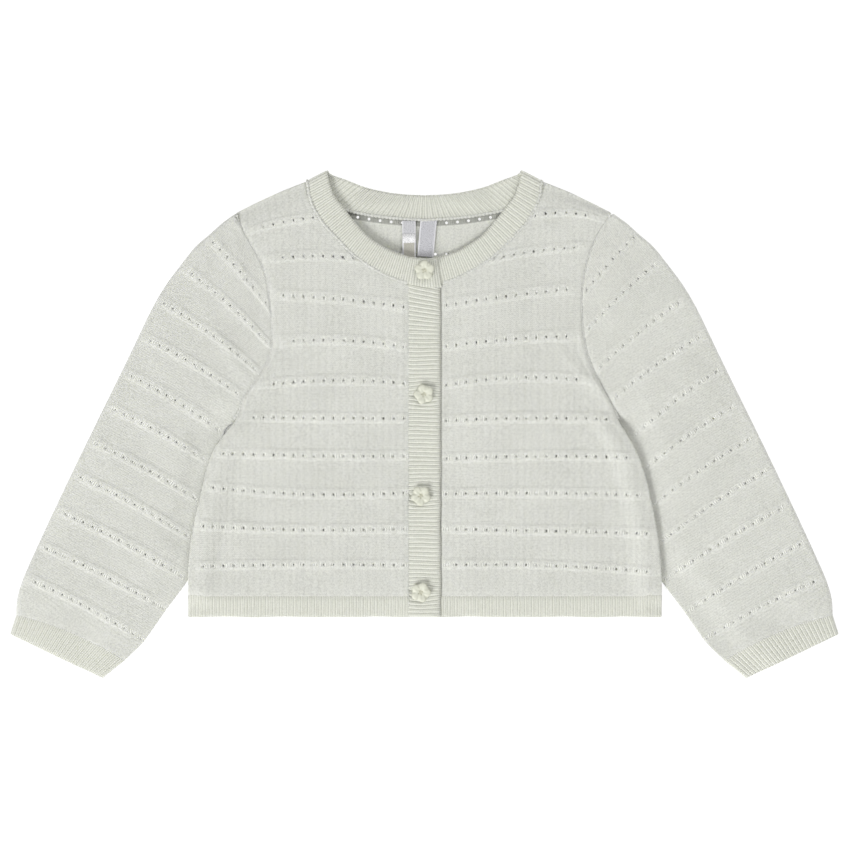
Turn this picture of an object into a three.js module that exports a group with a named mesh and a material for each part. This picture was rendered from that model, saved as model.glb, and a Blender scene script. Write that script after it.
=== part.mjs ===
// A baby's long-sleeved cardigan, fully fashioned and laid flat on its back with the fronts up.
// Millimetres, +Z up. The origin is the middle of its footprint, +Y runs to the neck, and +X runs to
// the wearer's left sleeve, which is on the right of someone who looks down at it.
import * as THREE from "three";

// Walls of the knitted cloth, and the gaps between its pieces
const JERSEY_WALL = 1.4;
const RIB_WALL = 1.5;
const BAND_WALL = 1.3;
const RIB_HEIGHT = 0.6;
const SEAM_GAP = 0.3;
const CURVED_SEAM_GAP = 0.5;

// Heights of the layers, from the surface that the garment lies on
const FRONT_UNDER = 3.6;
const FOLD_RADIUS = 2.5;
const EDGE_UNDER = JERSEY_WALL + SEAM_GAP;
const HEM_EDGE_UNDER = RIB_WALL + SEAM_GAP;
const BACK_LIFT = 3.5;
const FRONT_LIFT = 3.9;
const SLEEVE_TUCK = 5;
const SLEEVE_PUFF = 1.3;
const BUTTON_BAND_UNDER = 1.9;
const BUTTONHOLE_BAND_UNDER = 4.1;
const BAND_FRONT_UNDER = 3.3;
const CROSSING_RISE = 0.6;
const CROSSING_DIP = 1.3;

// Lines across the body
const SHOULDER_Y = 122.4;
const UNDERARM_Y = 8.5;
const HEM_RIB_TOP = -99.8;
const HEM_Y = -112;

// Button front
const BUTTONHOLE_EDGES = { seam: -9.1, free: 7 };
const BUTTON_BAND_EDGES = { seam: 9.7, free: -7 };
const BAND_TOP = 79.3;
const BUTTONS = [
  { x: 0, y: 89, wall: RIB_WALL },
  { x: -0.3, y: 17.2, wall: BAND_WALL },
  { x: -2.1, y: -41.6, wall: BAND_WALL },
  { x: -2.1, y: -97.5, wall: BAND_WALL },
];
const BUTTON_RADIUS = 5.4;
const BUTTON_THICKNESS = 2.4;
const BUTTON_PETALS = 5;
const PETAL_DEPTH = 0.07;

// Rib pitches, ridge to ridge
const HEM_RIB_PITCH = 2.03;
const CUFF_RIB_PITCH = 2.15;
const BAND_RIB_PITCH = 2.52;
const NECK_RIB_PITCH = 2.75;

// The raised tuck and the hollow beside each row of eyelets, as shares of the row spacing
const TUCK = { height: 0.8, place: 0.11, width: 0.1 };
const HOLLOW = { depth: 0.45, place: -0.15, width: 0.09 };

// Armhole and side of the body from the hem up: distance from the middle on each side of the wearer
const BODY_SIDE = [
  { y: -112, right: 137, left: 137.5 },
  { y: -95, right: 137, left: 137.5 },
  { y: -87, right: 137, left: 137.3 },
  { y: -72, right: 135.8, left: 136 },
  { y: -57.5, right: 133.5, left: 134 },
  { y: -34, right: 128, left: 129 },
  { y: -22, right: 125, left: 125.3 },
  { y: -14, right: 121.5, left: 121.8 },
  { y: -6, right: 115.8, left: 117.3 },
  { y: 1, right: 110.5, left: 113 },
  { y: 8.5, right: 106.5, left: 109.5 },
  { y: 16, right: 104, left: 105.5 },
  { y: 24, right: 98, left: 101 },
  { y: 34, right: 91.8, left: 96.2 },
  { y: 40, right: 89, left: 94 },
  { y: 46, right: 87.6, left: 92.6 },
  { y: 57.5, right: 87.7, left: 91 },
  { y: 72, right: 89, left: 90.5 },
  { y: 84.5, right: 91, left: 91.5 },
  { y: 93.5, right: 94, left: 93.3 },
  { y: 101.5, right: 98.6, left: 95.8 },
  { y: 109.5, right: 103.4, left: 99.5 },
  { y: 117, right: 107, left: 104 },
  { y: 122.4, right: 109, left: 108.2 },
];

// Back neck seam from the middle out, and the shoulder line from there to the armhole
const BACK_NECK = [
  { x: 0, y: 118.5 },
  { x: 19.4, y: 119.8 },
  { x: 34, y: 121.8 },
  { x: 48.4, y: 125 },
  { x: 59, y: 131 },
  { x: 68.9, y: 140.6 },
];
const SHOULDER = [
  { x: 68.9, y: 140.6 },
  { x: 84, y: 134.6 },
  { x: 96, y: 128.8 },
  { x: 109, y: 122.4 },
];

// Seam between a front and the neckband, from the centre front up to the shoulder
const NECK_SEAM = [
  { y: 79.5, x: 7 },
  { y: 82.4, x: 12.5 },
  { y: 86.4, x: 22.9 },
  { y: 91.9, x: 32.8 },
  { y: 98.6, x: 42 },
  { y: 106.7, x: 50.2 },
  { y: 116, x: 58.8 },
  { y: 124.7, x: 64.2 },
  { y: 132.2, x: 67 },
  { y: 140.9, x: 68.7 },
];

// Rows of eyelets on the fronts, from the shoulder to the hem: height of each row at the armhole or
// side, half way, and at the centre front. The first and last lines are the shoulder and the hem rib.
const FRONT_ROWS = {
  right: [
    { side: 122.4, middle: 132.5, centre: 140.6 },
    { side: 110.8, middle: 116.9, centre: 120 },
    { side: 94.8, middle: 97.4, centre: 95.7 },
    { side: 74.8, middle: 72.5, centre: 67.3 },
    { side: 47.3, middle: 48.6, centre: 44 },
    { side: 21.5, middle: 25.3, centre: 23.2 },
    { side: 4, middle: 3.5, centre: 3.2 },
    { side: -16.8, middle: -18.3, centre: -18.6 },
    { side: -36, middle: -40.6, centre: -39.7 },
    { side: -58.6, middle: -61.3, centre: -60.6 },
    { side: -82.7, middle: -81.6, centre: -81.8 },
    { side: -99.8, middle: -99.8, centre: -99.8 },
  ],
  left: [
    { side: 122.4, middle: 132.5, centre: 140.6 },
    { side: 117.5, middle: 122.5, centre: 120 },
    { side: 102.7, middle: 100.6, centre: 95 },
    { side: 78.9, middle: 74.5, centre: 68.4 },
    { side: 51, middle: 49.3, centre: 44.7 },
    { side: 24.4, middle: 27, centre: 22 },
    { side: 2.6, middle: 3.5, centre: 1.7 },
    { side: -19.7, middle: -18.6, centre: -20.3 },
    { side: -41.5, middle: -40, centre: -40.6 },
    { side: -63.5, middle: -62, centre: -60.9 },
    { side: -86.4, middle: -82.1, centre: -81.8 },
    { side: -99.8, middle: -99.8, centre: -99.8 },
  ],
};

// Outer fold of a sleeve, from the cuff up
const SLEEVE_FOLD = [
  { y: -111, x: 237.3 },
  { y: -100, x: 236.3 },
  { y: -86, x: 231.5 },
  { y: -30, x: 205.5 },
  { y: 39.5, x: 171.5 },
  { y: 67.5, x: 158 },
  { y: 81, x: 150 },
  { y: 95, x: 139.5 },
  { y: 103, x: 133 },
  { y: 110, x: 125 },
  { y: 117, x: 117 },
  { y: 122.4, x: 109.5 },
];

// Seamed edge of a sleeve where it comes out from under the body, down to the cuff
const SLEEVE_EDGE = [
  { y: -138, x: 175 },
  { y: -128, x: 164.5 },
  { y: -121, x: 159.3 },
  { y: -107, x: 149.5 },
  { y: -93, x: 139 },
  { y: -88, x: 136.3 },
];

// Rows of eyelets on the sleeves, from the cap to the cuff: height of each row at the outer fold and
// at the armhole or seamed edge. The first and last lines are the cap and the top of the cuff.
const SLEEVE_ROWS = {
  right: [
    { fold: 120.5, edge: 117.3 },
    { fold: 109, edge: 66 },
    { fold: 92.2, edge: 44 },
    { fold: 72.5, edge: 29 },
    { fold: 51.6, edge: 15 },
    { fold: 30.7, edge: -6 },
    { fold: 11, edge: -25 },
    { fold: -9.3, edge: -47.6 },
    { fold: -28.4, edge: -69.6 },
    { fold: -49.3, edge: -90.5 },
    { fold: -70.2, edge: -107.9 },
    { fold: -88.7, edge: -125.9 },
    { fold: -110.8, edge: -137.5 },
  ],
  left: [
    { fold: 120.5, edge: 117.3 },
    { fold: 110.8, edge: 73.7 },
    { fold: 96.3, edge: 51 },
    { fold: 74.8, edge: 29.6 },
    { fold: 53.4, edge: 12.8 },
    { fold: 33.6, edge: -9.3 },
    { fold: 13.3, edge: -30 },
    { fold: -5.8, edge: -51 },
    { fold: -24.4, edge: -73 },
    { fold: -45.8, edge: -91.6 },
    { fold: -67.3, edge: -110 },
    { fold: -88.7, edge: -125.3 },
    { fold: -110.8, edge: -137.5 },
  ],
};
const ROW_BOW = 2;

// Cuff, from its outer fold to its seamed edge: top of the rib, then the opening
const CUFF = {
  topFold: { x: 237.3, y: -111.3 },
  topEdge: { x: 175, y: -138 },
  openFold: { x: 240.6, y: -121.8 },
  openEdge: { x: 187, y: -147.6 },
  bow: 3.2,
  width: 60,
  settling: 0.5,
};

// Sections of half the neckband, from the centre front over the shoulder to the centre back. The
// last column says how the strip is turned: 0 faces up on the front, 1 faces down on the back.
const NECKBAND = [
  { seamX: 0, seamY: 80.2, freeX: 0, freeY: 96, turn: 0 },
  { seamX: 12.5, seamY: 82.9, freeX: 9, freeY: 97.2, turn: 0 },
  { seamX: 22.7, seamY: 86.9, freeX: 17.7, freeY: 99.9, turn: 0 },
  { seamX: 32.5, seamY: 92.4, freeX: 25.2, freeY: 103.8, turn: 0 },
  { seamX: 41.6, seamY: 99, freeX: 33.4, freeY: 109.6, turn: 0 },
  { seamX: 49.8, seamY: 107.1, freeX: 39.7, freeY: 116.4, turn: 0 },
  { seamX: 58.3, seamY: 116.3, freeX: 46.8, freeY: 125.4, turn: 0 },
  { seamX: 63.7, seamY: 125, freeX: 52.3, freeY: 132.4, turn: 0 },
  { seamX: 66.6, seamY: 132.6, freeX: 54.8, freeY: 139, turn: 0 },
  { seamX: 67.3, seamY: 138.2, freeX: 56, freeY: 144.2, turn: 0.1 },
  { seamX: 67.4, seamY: 140.6, freeX: 55.8, freeY: 146.6, turn: 0.5 },
  { seamX: 65.6, seamY: 139, freeX: 54, freeY: 145, turn: 0.9 },
  { seamX: 58.6, seamY: 131.3, freeX: 45.5, freeY: 142, turn: 1 },
  { seamX: 48.2, seamY: 125.4, freeX: 34, freeY: 137.6, turn: 1 },
  { seamX: 33.8, seamY: 122.2, freeX: 22, freeY: 134.9, turn: 1 },
  { seamX: 19.3, seamY: 120.2, freeX: 11.5, freeY: 133.6, turn: 1 },
  { seamX: 0, seamY: 118.9, freeX: 0, freeY: 133.1, turn: 1 },
];

// Which way the neckband's fold faces at the left shoulder, and where the fold is in the table
const SHOULDER_FOLD_FACING = new THREE.Vector2(0.42, 0.91);
const SHOULDER_FOLD_SECTION = 10;

// How far the neckband's ends run past the centre line, in sections of the table
const NECKBAND_ENDS = { right: 0.8, left: 0.56 };
const NECKBAND_FRONT_LENGTH = 112;
const NECKBAND_BACK_LENGTH = 120;

// Soft folds in the cloth: two ends, height and half width
const CREASES = [
  { side: "left", x1: 81, y1: 40, x2: 110, y2: 10, height: 1.2, width: 3.5 },
  { side: "right", x1: 84, y1: 36, x2: 104, y2: 12, height: 0.7, width: 3 },
  { side: "right", x1: 124, y1: 62, x2: 104, y2: 26, height: 0.8, width: 4 },
  { side: "left", x1: 128, y1: 60, x2: 108, y2: 26, height: 0.9, width: 4 },
];

// Woven labels at the back neck: middle, width, length and turn
const LABELS = [
  { name: "neck_label", x: 1.8, y: 106.6, width: 10.4, length: 19.4, turn: 0.06 },
  { name: "size_label", x: -9, y: 107.9, width: 7.8, length: 20.6, turn: 0 },
];
const LABEL_THICKNESS = 1;

// Stretches over which one form runs into the next: where a change starts and where it is complete
const ZONES = {
  // Distance from the body's side edge
  sideLift: { start: 20, end: 6 },
  sideClosing: { start: 14, end: 1 },
  // Height on the body
  underarm: { start: UNDERARM_Y, end: -6 },
  hemCorner: { start: -108, end: -95 },
  hemSettling: { start: HEM_RIB_TOP, end: HEM_Y },
  neckRise: { start: 85, end: SHOULDER_Y },
  tuckTop: { start: -8, end: -28 },
  tuckBottom: { start: -92, end: -80 },
  // Distance from the centre front
  rightCrossing: { start: 32, end: 12 },
  leftCrossing: { start: 28, end: 12 },
  bandCrossing: { start: 30, end: 12 },
  // Rows of eyelets, counted from the shoulder or the cap
  shoulderClosing: { start: 0.75, end: 0 },
  bowTop: { start: 0, end: 2 },
  bowCuff: { start: 11, end: 12 },
  puffCuff: { start: 12, end: 10.5 },
  // Share of the way across a front
  reliefSide: { start: 0, end: 0.06 },
  reliefCentre: { start: 1, end: 0.97 },
  // Distance across a sleeve, from its fold or from its seamed edge
  puffFold: { start: 2, end: 24 },
  puffEdge: { start: 4, end: 30 },
  edgeFlat: { start: 22, end: 6 },
  reliefFold: { start: 0, end: 8 },
  reliefArmhole: { start: 0, end: 4 },
  reliefEdge: { start: 6, end: 14 },
};

const SIDES = { right: -1, left: 1 };

const CLOTHS = {
  jersey: new THREE.MeshStandardMaterial({ color: "#dcdcd5", roughness: 0.95, metalness: 0 }),
  rib: new THREE.MeshStandardMaterial({ color: "#deddd0", roughness: 0.95, metalness: 0 }),
  button: new THREE.MeshStandardMaterial({ color: "#e2e1cf", roughness: 0.45, metalness: 0 }),
  label: new THREE.MeshStandardMaterial({ color: "#cfcdd0", roughness: 0.6, metalness: 0 }),
};

// Smooth step from 0 at the start of a zone to 1 at its end
function ease(zone, value) {
  const t = THREE.MathUtils.clamp((value - zone.start) / (zone.end - zone.start), 0, 1);
  return t * t * (3 - 2 * t);
}

function mix(a, b, t) {
  return a + (b - a) * t;
}

// Reads a column of a table by a smooth curve through its rows, whose key rises
function readCurve(table, key, column, value) {
  const last = table.length - 1;
  let i = 0;
  while (i < last - 1 && table[i + 1][key] < value) {
    i += 1;
  }
  const slope = (a, b) => (table[b][column] - table[a][column]) / (table[b][key] - table[a][key]);
  const startSlope = i > 0 ? slope(i - 1, i + 1) : slope(i, i + 1);
  const endSlope = i + 2 <= last ? slope(i, i + 2) : slope(i, i + 1);
  const span = table[i + 1][key] - table[i][key];
  const t = THREE.MathUtils.clamp((value - table[i][key]) / span, 0, 1);
  const rise = t * t * (3 - 2 * t);
  const bend = t * (1 - t) * span * (startSlope * (1 - t) - endSlope * t);
  return mix(table[i][column], table[i + 1][column], rise) + bend;
}

// Reads a column at a place between rows that are numbered from 0
function readRows(table, column, place) {
  const numbered = table.map((row, i) => ({ i, value: row[column] }));
  return readCurve(numbered, "i", "value", place);
}

function evenSteps(from, to, count) {
  return Array.from({ length: count + 1 }, (_, i) => mix(from, to, i / count));
}

// Rounded tuck and hollow that follow each row of eyelets
function rowRelief(place, lastRow) {
  const nearest = THREE.MathUtils.clamp(Math.round(place), 1, lastRow);
  const away = place - nearest;
  const bump = (shape) => Math.exp(-(((away - shape.place) / shape.width) ** 2));
  return TUCK.height * bump(TUCK) - HOLLOW.depth * bump(HOLLOW);
}

// Lines of a grid at the tuck, the hollow and the flats of each row of eyelets
function reliefRows(lastRow, extra) {
  const rows = [0, lastRow + 1, ...extra];
  for (let row = 1; row <= lastRow; row += 1) {
    rows.push(row + HOLLOW.place, row + TUCK.place, row + 0.4);
  }
  return rows.sort((a, b) => a - b);
}

function creaseHeight(side, x, y) {
  let height = 0;
  for (const fold of CREASES.filter((crease) => crease.side === side)) {
    const along = new THREE.Vector2(fold.x2 - fold.x1, fold.y2 - fold.y1);
    const from = new THREE.Vector2(x - fold.x1, y - fold.y1);
    const t = THREE.MathUtils.clamp(from.dot(along) / along.lengthSq(), 0, 1);
    const away = from.distanceTo(along.multiplyScalar(t));
    height += fold.height * Math.exp(-((away / fold.width) ** 2)) * Math.sin(Math.PI * mix(0.15, 0.85, t));
  }
  return height;
}

// A closed wall of cloth between a fine outer skin and a plainer inner one. Each skin is a function
// of a column and a row, and the two are joined round the rim.
function clothWall({ columns, rows, innerColumns, innerRows, outer, inner }) {
  const points = [];
  const triangles = [];
  const addSkin = (us, vs, skin) => {
    const start = points.length;
    vs.forEach((v) => us.forEach((u) => points.push(skin(u, v))));
    return (i, j) => start + j * us.length + i;
  };
  const outerAt = addSkin(columns, rows, outer);
  const innerAt = addSkin(innerColumns, innerRows, inner);
  const fillSkin = (at, us, vs, isOuter) => {
    for (let j = 0; j + 1 < vs.length; j += 1) {
      for (let i = 0; i + 1 < us.length; i += 1) {
        const [a, b, c, d] = [at(i, j), at(i + 1, j), at(i + 1, j + 1), at(i, j + 1)];
        triangles.push(...(isOuter ? [a, b, c, a, c, d] : [a, c, b, a, d, c]));
      }
    }
  };
  fillSkin(outerAt, columns, rows, true);
  fillSkin(innerAt, innerColumns, innerRows, false);
  const sideLines = (at, us, vs) => {
    const [m, n] = [us.length - 1, vs.length - 1];
    return [
      us.map((u, i) => ({ at: u, point: at(i, 0) })),
      vs.map((v, j) => ({ at: v, point: at(m, j) })),
      us.map((u, i) => ({ at: -us[m - i], point: at(m - i, n) })),
      vs.map((v, j) => ({ at: -vs[n - j], point: at(0, n - j) })),
    ];
  };
  const outerSides = sideLines(outerAt, columns, rows);
  const innerSides = sideLines(innerAt, innerColumns, innerRows);
  outerSides.forEach((edge, side) => {
    const facing = innerSides[side];
    let [i, j] = [0, 0];
    while (i + 1 < edge.length || j + 1 < facing.length) {
      const innerEnded = j + 1 >= facing.length;
      const outerNext = i + 1 < edge.length && (innerEnded || edge[i + 1].at <= facing[j + 1].at + 1e-9);
      if (outerNext) {
        triangles.push(edge[i + 1].point, edge[i].point, facing[j].point);
        i += 1;
      } else {
        triangles.push(facing[j].point, facing[j + 1].point, edge[i].point);
        j += 1;
      }
    }
  });
  return closedGeometry(points, triangles);
}

// Turns every triangle round if the surface comes out with its faces pointing in
function closedGeometry(points, triangles) {
  let volume = 0;
  for (let i = 0; i < triangles.length; i += 3) {
    const [a, b, c] = [points[triangles[i]], points[triangles[i + 1]], points[triangles[i + 2]]];
    volume += a.dot(b.clone().cross(c));
  }
  if (volume < 0) {
    triangles.reverse();
  }
  const geometry = new THREE.BufferGeometry().setFromPoints(points);
  geometry.setIndex(triangles);
  geometry.computeVertexNormals();
  return geometry;
}

function bodySide(side, y) {
  return readCurve(BODY_SIDE, "y", side, y);
}

// How far the body's side rises where it lies over the sleeve, as a share of its full lift
function sideLift(side, x, y) {
  const fromEdge = bodySide(side, y) - Math.abs(x);
  return ease(ZONES.sideLift, fromEdge) * ease(ZONES.underarm, y) * ease(ZONES.hemCorner, y);
}

// How closed the body's side edge is: 0 at the armhole, 1 below the underarm
function sideClosing(side, x, y) {
  const fromEdge = bodySide(side, y) - Math.abs(x);
  return ease(ZONES.sideClosing, fromEdge) * ease(ZONES.underarm, y);
}

// The fronts settle differently at the centre, where one lies on the other
function centreShift(side, x) {
  if (side === "right") {
    return CROSSING_RISE * ease(ZONES.rightCrossing, Math.abs(x));
  }
  return -CROSSING_DIP * ease(ZONES.leftCrossing, Math.abs(x));
}

function frontEdge(side, y) {
  const placket = side === "right" ? -BUTTONHOLE_EDGES.seam : BUTTON_BAND_EDGES.seam;
  const neck = y > NECK_SEAM[0].y ? readCurve(NECK_SEAM, "y", "x", y) : 0;
  return Math.max(placket + SEAM_GAP, neck + CURVED_SEAM_GAP);
}

// Point of a front on its upper skin without relief, and the height of its underside
function frontPoint(side, u, v) {
  const rows = FRONT_ROWS[side];
  const [outerY, middleY, centreY] = ["side", "middle", "centre"].map((c) => readRows(rows, c, v));
  const bow = middleY - (outerY + centreY) / 2;
  const y = mix(outerY, centreY, u) + 4 * bow * u * (1 - u);
  const x = SIDES[side] * mix(bodySide(side, outerY), frontEdge(side, centreY), u);
  const closing = Math.max(sideClosing(side, x, y), ease(ZONES.shoulderClosing, v));
  const under = mix(FRONT_UNDER + centreShift(side, x), EDGE_UNDER, closing);
  return { x, y, under: under + FRONT_LIFT * sideLift(side, x, y) };
}

function frontGeometry(side) {
  const lastRow = FRONT_ROWS[side].length - 2;
  const fade = (u) => ease(ZONES.reliefSide, u) * ease(ZONES.reliefCentre, u);
  return clothWall({
    columns: [0, 0.02, 0.06, 0.12, 0.2, 0.3, 0.4, 0.5, 0.6, 0.7, 0.78, 0.86, 0.93, 1],
    rows: reliefRows(lastRow, [0.25, 0.55, 1.6, 2.25, 2.53, 4.2, 4.65]),
    innerColumns: [0, 0.02, 0.06, 0.12, 0.2, 0.4, 0.7, 1],
    innerRows: [
      0, 0.25, 0.55, 0.85, 1.11, 1.4, 1.6, 1.85, 2.11, 2.25, 2.4, 2.53, 3.11, 3.6, 4.11, 4.4,
      4.65, 4.85, 5.11, 5.6, 5.85, 6.11, 6.4, 7.11, 9, 10.11, 10.4, 11,
    ],
    outer: (u, v) => {
      const at = frontPoint(side, u, v);
      const relief = rowRelief(v, lastRow) * fade(u) + creaseHeight(side, Math.abs(at.x), at.y);
      return new THREE.Vector3(at.x, at.y, at.under + JERSEY_WALL + relief);
    },
    inner: (u, v) => {
      const at = frontPoint(side, u, v);
      return new THREE.Vector3(at.x, at.y, at.under);
    },
  });
}

function backPoint(u, y) {
  const x = u * bodySide(u < 0 ? "right" : "left", y);
  const topLine = Math.abs(x) < SHOULDER[0].x ? BACK_NECK : SHOULDER;
  const top = readCurve(topLine, "x", "y", Math.abs(x));
  const rise = (top - SHOULDER_Y) * ease(ZONES.neckRise, y);
  const side = u < 0 ? "right" : "left";
  return new THREE.Vector3(x, y + rise - (y === SHOULDER_Y ? SEAM_GAP : 0), BACK_LIFT * sideLift(side, x, y));
}

function mirrored(values) {
  return [...values.map((value) => -value).reverse(), 0, ...values];
}

function backGeometry() {
  const ys = BODY_SIDE.filter((row) => row.y >= -95).map((row) => row.y);
  return clothWall({
    columns: mirrored([0.12, 0.24, 0.36, 0.46, 0.55, 0.63, 0.75, 0.85, 0.92, 0.97, 1]),
    rows: [HEM_RIB_TOP, ...ys],
    innerColumns: mirrored([0.12, 0.24, 0.36, 0.46, 0.55, 0.63, 0.85, 0.92, 0.97, 1]),
    innerRows: [HEM_RIB_TOP, ...ys],
    outer: (u, y) => backPoint(u, y).add(new THREE.Vector3(0, 0, JERSEY_WALL)),
    inner: backPoint,
  });
}

function backHemGeometry() {
  const point = (u, y, height) => {
    const side = u < 0 ? "right" : "left";
    const x = u * bodySide(side, y);
    return new THREE.Vector3(x, y, BACK_LIFT * sideLift(side, x, y) + height);
  };
  const columns = mirrored([0.4, 0.85, 0.92, 0.97, 1]);
  const rows = evenSteps(HEM_Y, HEM_RIB_TOP - SEAM_GAP, 3);
  return clothWall({
    columns,
    rows,
    innerColumns: columns,
    innerRows: rows,
    outer: (u, y) => point(u, y, RIB_WALL),
    inner: (u, y) => point(u, y, 0),
  });
}

function frontHemGeometry(side) {
  const centre = frontEdge(side, HEM_Y);
  const width = bodySide(side, HEM_Y) - centre;
  const ribs = Math.round(width / HEM_RIB_PITCH);
  const point = (u, y, thickness) => {
    const x = SIDES[side] * mix(bodySide(side, y), centre, u);
    const closed = Math.max(sideClosing(side, x, y), ease(ZONES.hemSettling, y));
    const under = mix(FRONT_UNDER + centreShift(side, x), HEM_EDGE_UNDER, closed);
    return new THREE.Vector3(x, y, under + FRONT_LIFT * sideLift(side, x, y) + thickness);
  };
  const columns = evenSteps(0, 1, 2 * ribs);
  const rows = evenSteps(HEM_Y, HEM_RIB_TOP - SEAM_GAP, 2);
  return clothWall({
    columns,
    rows,
    innerColumns: [0, 0.06, 0.12, 0.3, 0.5, 0.7, 0.86, 1],
    innerRows: rows,
    outer: (u, y) => point(u, y, RIB_WALL + (Math.round(u * 2 * ribs) % 2) * RIB_HEIGHT),
    inner: (u, y) => point(u, y, 0),
  });
}

// Seamed edge of a sleeve: the armhole, then a line tucked under the body, then the free edge
function sleeveEdge(side, y) {
  if (y < SLEEVE_EDGE[SLEEVE_EDGE.length - 1].y) {
    return readCurve(SLEEVE_EDGE, "y", "x", y);
  }
  const tuck = SLEEVE_TUCK * ease(ZONES.tuckTop, y) * ease(ZONES.tuckBottom, y);
  return bodySide(side, y) + CURVED_SEAM_GAP - tuck;
}

// A point of a flat tube that is cut open along one edge. It runs from that edge along the
// underside, round the fold and back on top, as u goes from -1 to 1.
function tubePoint(fold, edge, bow, u, wall, topHeight) {
  const row = edge.clone().sub(fold);
  const width = row.length();
  const radius = Math.min(FOLD_RADIUS, width / 3);
  const arc = (Math.PI * radius) / 2;
  const travel = Math.abs(u) * (width - radius + arc);
  const skin = radius - wall;
  const turn = Math.min(travel / radius, Math.PI / 2);
  const across = travel < arc ? radius - skin * Math.cos(turn) : radius + travel - arc;
  const share = across / width;
  const at = fold.clone().addScaledVector(row, share);
  const lean = new THREE.Vector2(-row.y, row.x).divideScalar(width);
  at.addScaledVector(lean.y > 0 ? lean : lean.negate(), 4 * bow * share * (1 - share));
  const side = Math.sign(u);
  const rounded = radius + side * skin * Math.sin(turn);
  const roundedPart = { start: 0, end: arc };
  const above = side > 0 ? (topHeight(share, width) - 2 * FOLD_RADIUS) * ease(roundedPart, travel) : 0;
  const under = side < 0 && travel >= arc ? wall : rounded;
  return new THREE.Vector3(at.x, at.y, under + above);
}

function sleevePoint(side, u, v, wall, relief) {
  const rows = SLEEVE_ROWS[side];
  const foldY = readRows(rows, "fold", v);
  const edgeY = readRows(rows, "edge", v);
  const fold = new THREE.Vector2(readCurve(SLEEVE_FOLD, "y", "x", foldY), foldY);
  const edge = new THREE.Vector2(sleeveEdge(side, edgeY), edgeY);
  const closing = ease(ZONES.underarm, edgeY);
  const lastRow = rows.length - 2;
  const height = (share, width) => {
    const fromEdge = width * (1 - share);
    const fromFold = width * share;
    const puff = ease(ZONES.puffFold, fromFold) * ease(ZONES.puffEdge, fromEdge) * ease(ZONES.puffCuff, v);
    const top = 2 * FOLD_RADIUS + SLEEVE_PUFF * puff;
    const settled = mix(top, EDGE_UNDER + JERSEY_WALL, closing * ease(ZONES.edgeFlat, fromEdge));
    const seamFade = mix(ease(ZONES.reliefArmhole, fromEdge), ease(ZONES.reliefEdge, fromEdge), closing);
    return settled + (relief ? rowRelief(v, lastRow) * ease(ZONES.reliefFold, fromFold) * seamFade : 0);
  };
  const bow = ROW_BOW * ease(ZONES.bowTop, v) + (CUFF.bow - ROW_BOW) * ease(ZONES.bowCuff, v);
  const point = tubePoint(fold, edge, bow, u, wall, height);
  if (relief && u > 0) {
    const fade = ease(ZONES.reliefSide, u) * ease(ZONES.reliefCentre, u);
    point.z += creaseHeight(side, point.x, point.y) * fade;
  }
  point.x *= SIDES[side];
  return point;
}

function sleeveGeometry(side) {
  const lastRow = SLEEVE_ROWS[side].length - 2;
  return clothWall({
    columns: [-1, -0.7, -0.35, -0.06, -0.03, 0, 0.03, 0.06, 0.14, 0.26, 0.4, 0.54, 0.68, 0.8, 0.91, 1],
    rows: reliefRows(lastRow, [0.1, 0.2, 0.3, 0.4, 0.5, 0.6, 0.72, 1.65, 2.6, 3.6, 4.2]),
    innerColumns: [-1, -0.5, -0.06, -0.03, 0, 0.03, 0.06, 0.26, 0.54, 0.8, 0.91, 1],
    innerRows: [
      0, 0.1, 0.2, 0.3, 0.4, 0.5, 0.6, 0.72, 0.85, 1.11, 1.4, 1.65, 1.85, 2.11, 2.4, 2.6, 2.85,
      3.11, 3.4, 3.6, 3.85, 4.2, 5, 6, 7.4, 9, 10.5, 12,
    ],
    outer: (u, v) => sleevePoint(side, u, v, 0, true),
    inner: (u, v) => sleevePoint(side, u, v, JERSEY_WALL, false),
  });
}

function cuffPoint(side, u, v, wall, rib) {
  const { topFold, topEdge, openFold, openEdge, bow } = CUFF;
  const fold = new THREE.Vector2(mix(topFold.x, openFold.x, v), mix(topFold.y, openFold.y, v));
  const edge = new THREE.Vector2(mix(topEdge.x, openEdge.x, v), mix(topEdge.y, openEdge.y, v));
  const height = (share, width) => {
    const closed = Math.max(ease(ZONES.edgeFlat, width * (1 - share)), CUFF.settling * v);
    return mix(2 * FOLD_RADIUS, HEM_EDGE_UNDER + RIB_WALL, closed) + rib * RIB_HEIGHT;
  };
  const point = tubePoint(fold, edge, bow * (1 - v), u, wall, height);
  point.x *= SIDES[side];
  return point;
}

function cuffGeometry(side) {
  const ribs = Math.round(CUFF.width / CUFF_RIB_PITCH);
  const top = evenSteps(0.06, 1, 2 * ribs);
  const isRidge = (u) => u > 0.06 && Math.round(((u - 0.06) / 0.94) * 2 * ribs) % 2;
  return clothWall({
    columns: [-1, -0.5, -0.06, -0.03, 0, 0.03, ...top],
    rows: [0.02, 0.5, 1],
    innerColumns: [-1, -0.5, -0.06, -0.03, 0, 0.03, 0.06, 0.26, 0.4, 0.54, 0.68, 0.8, 0.91, 1],
    innerRows: [0.02, 0.5, 1],
    outer: (u, v) => cuffPoint(side, u, v, 0, isRidge(u)),
    inner: (u, v) => cuffPoint(side, u, v, RIB_WALL, 0),
  });
}

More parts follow.
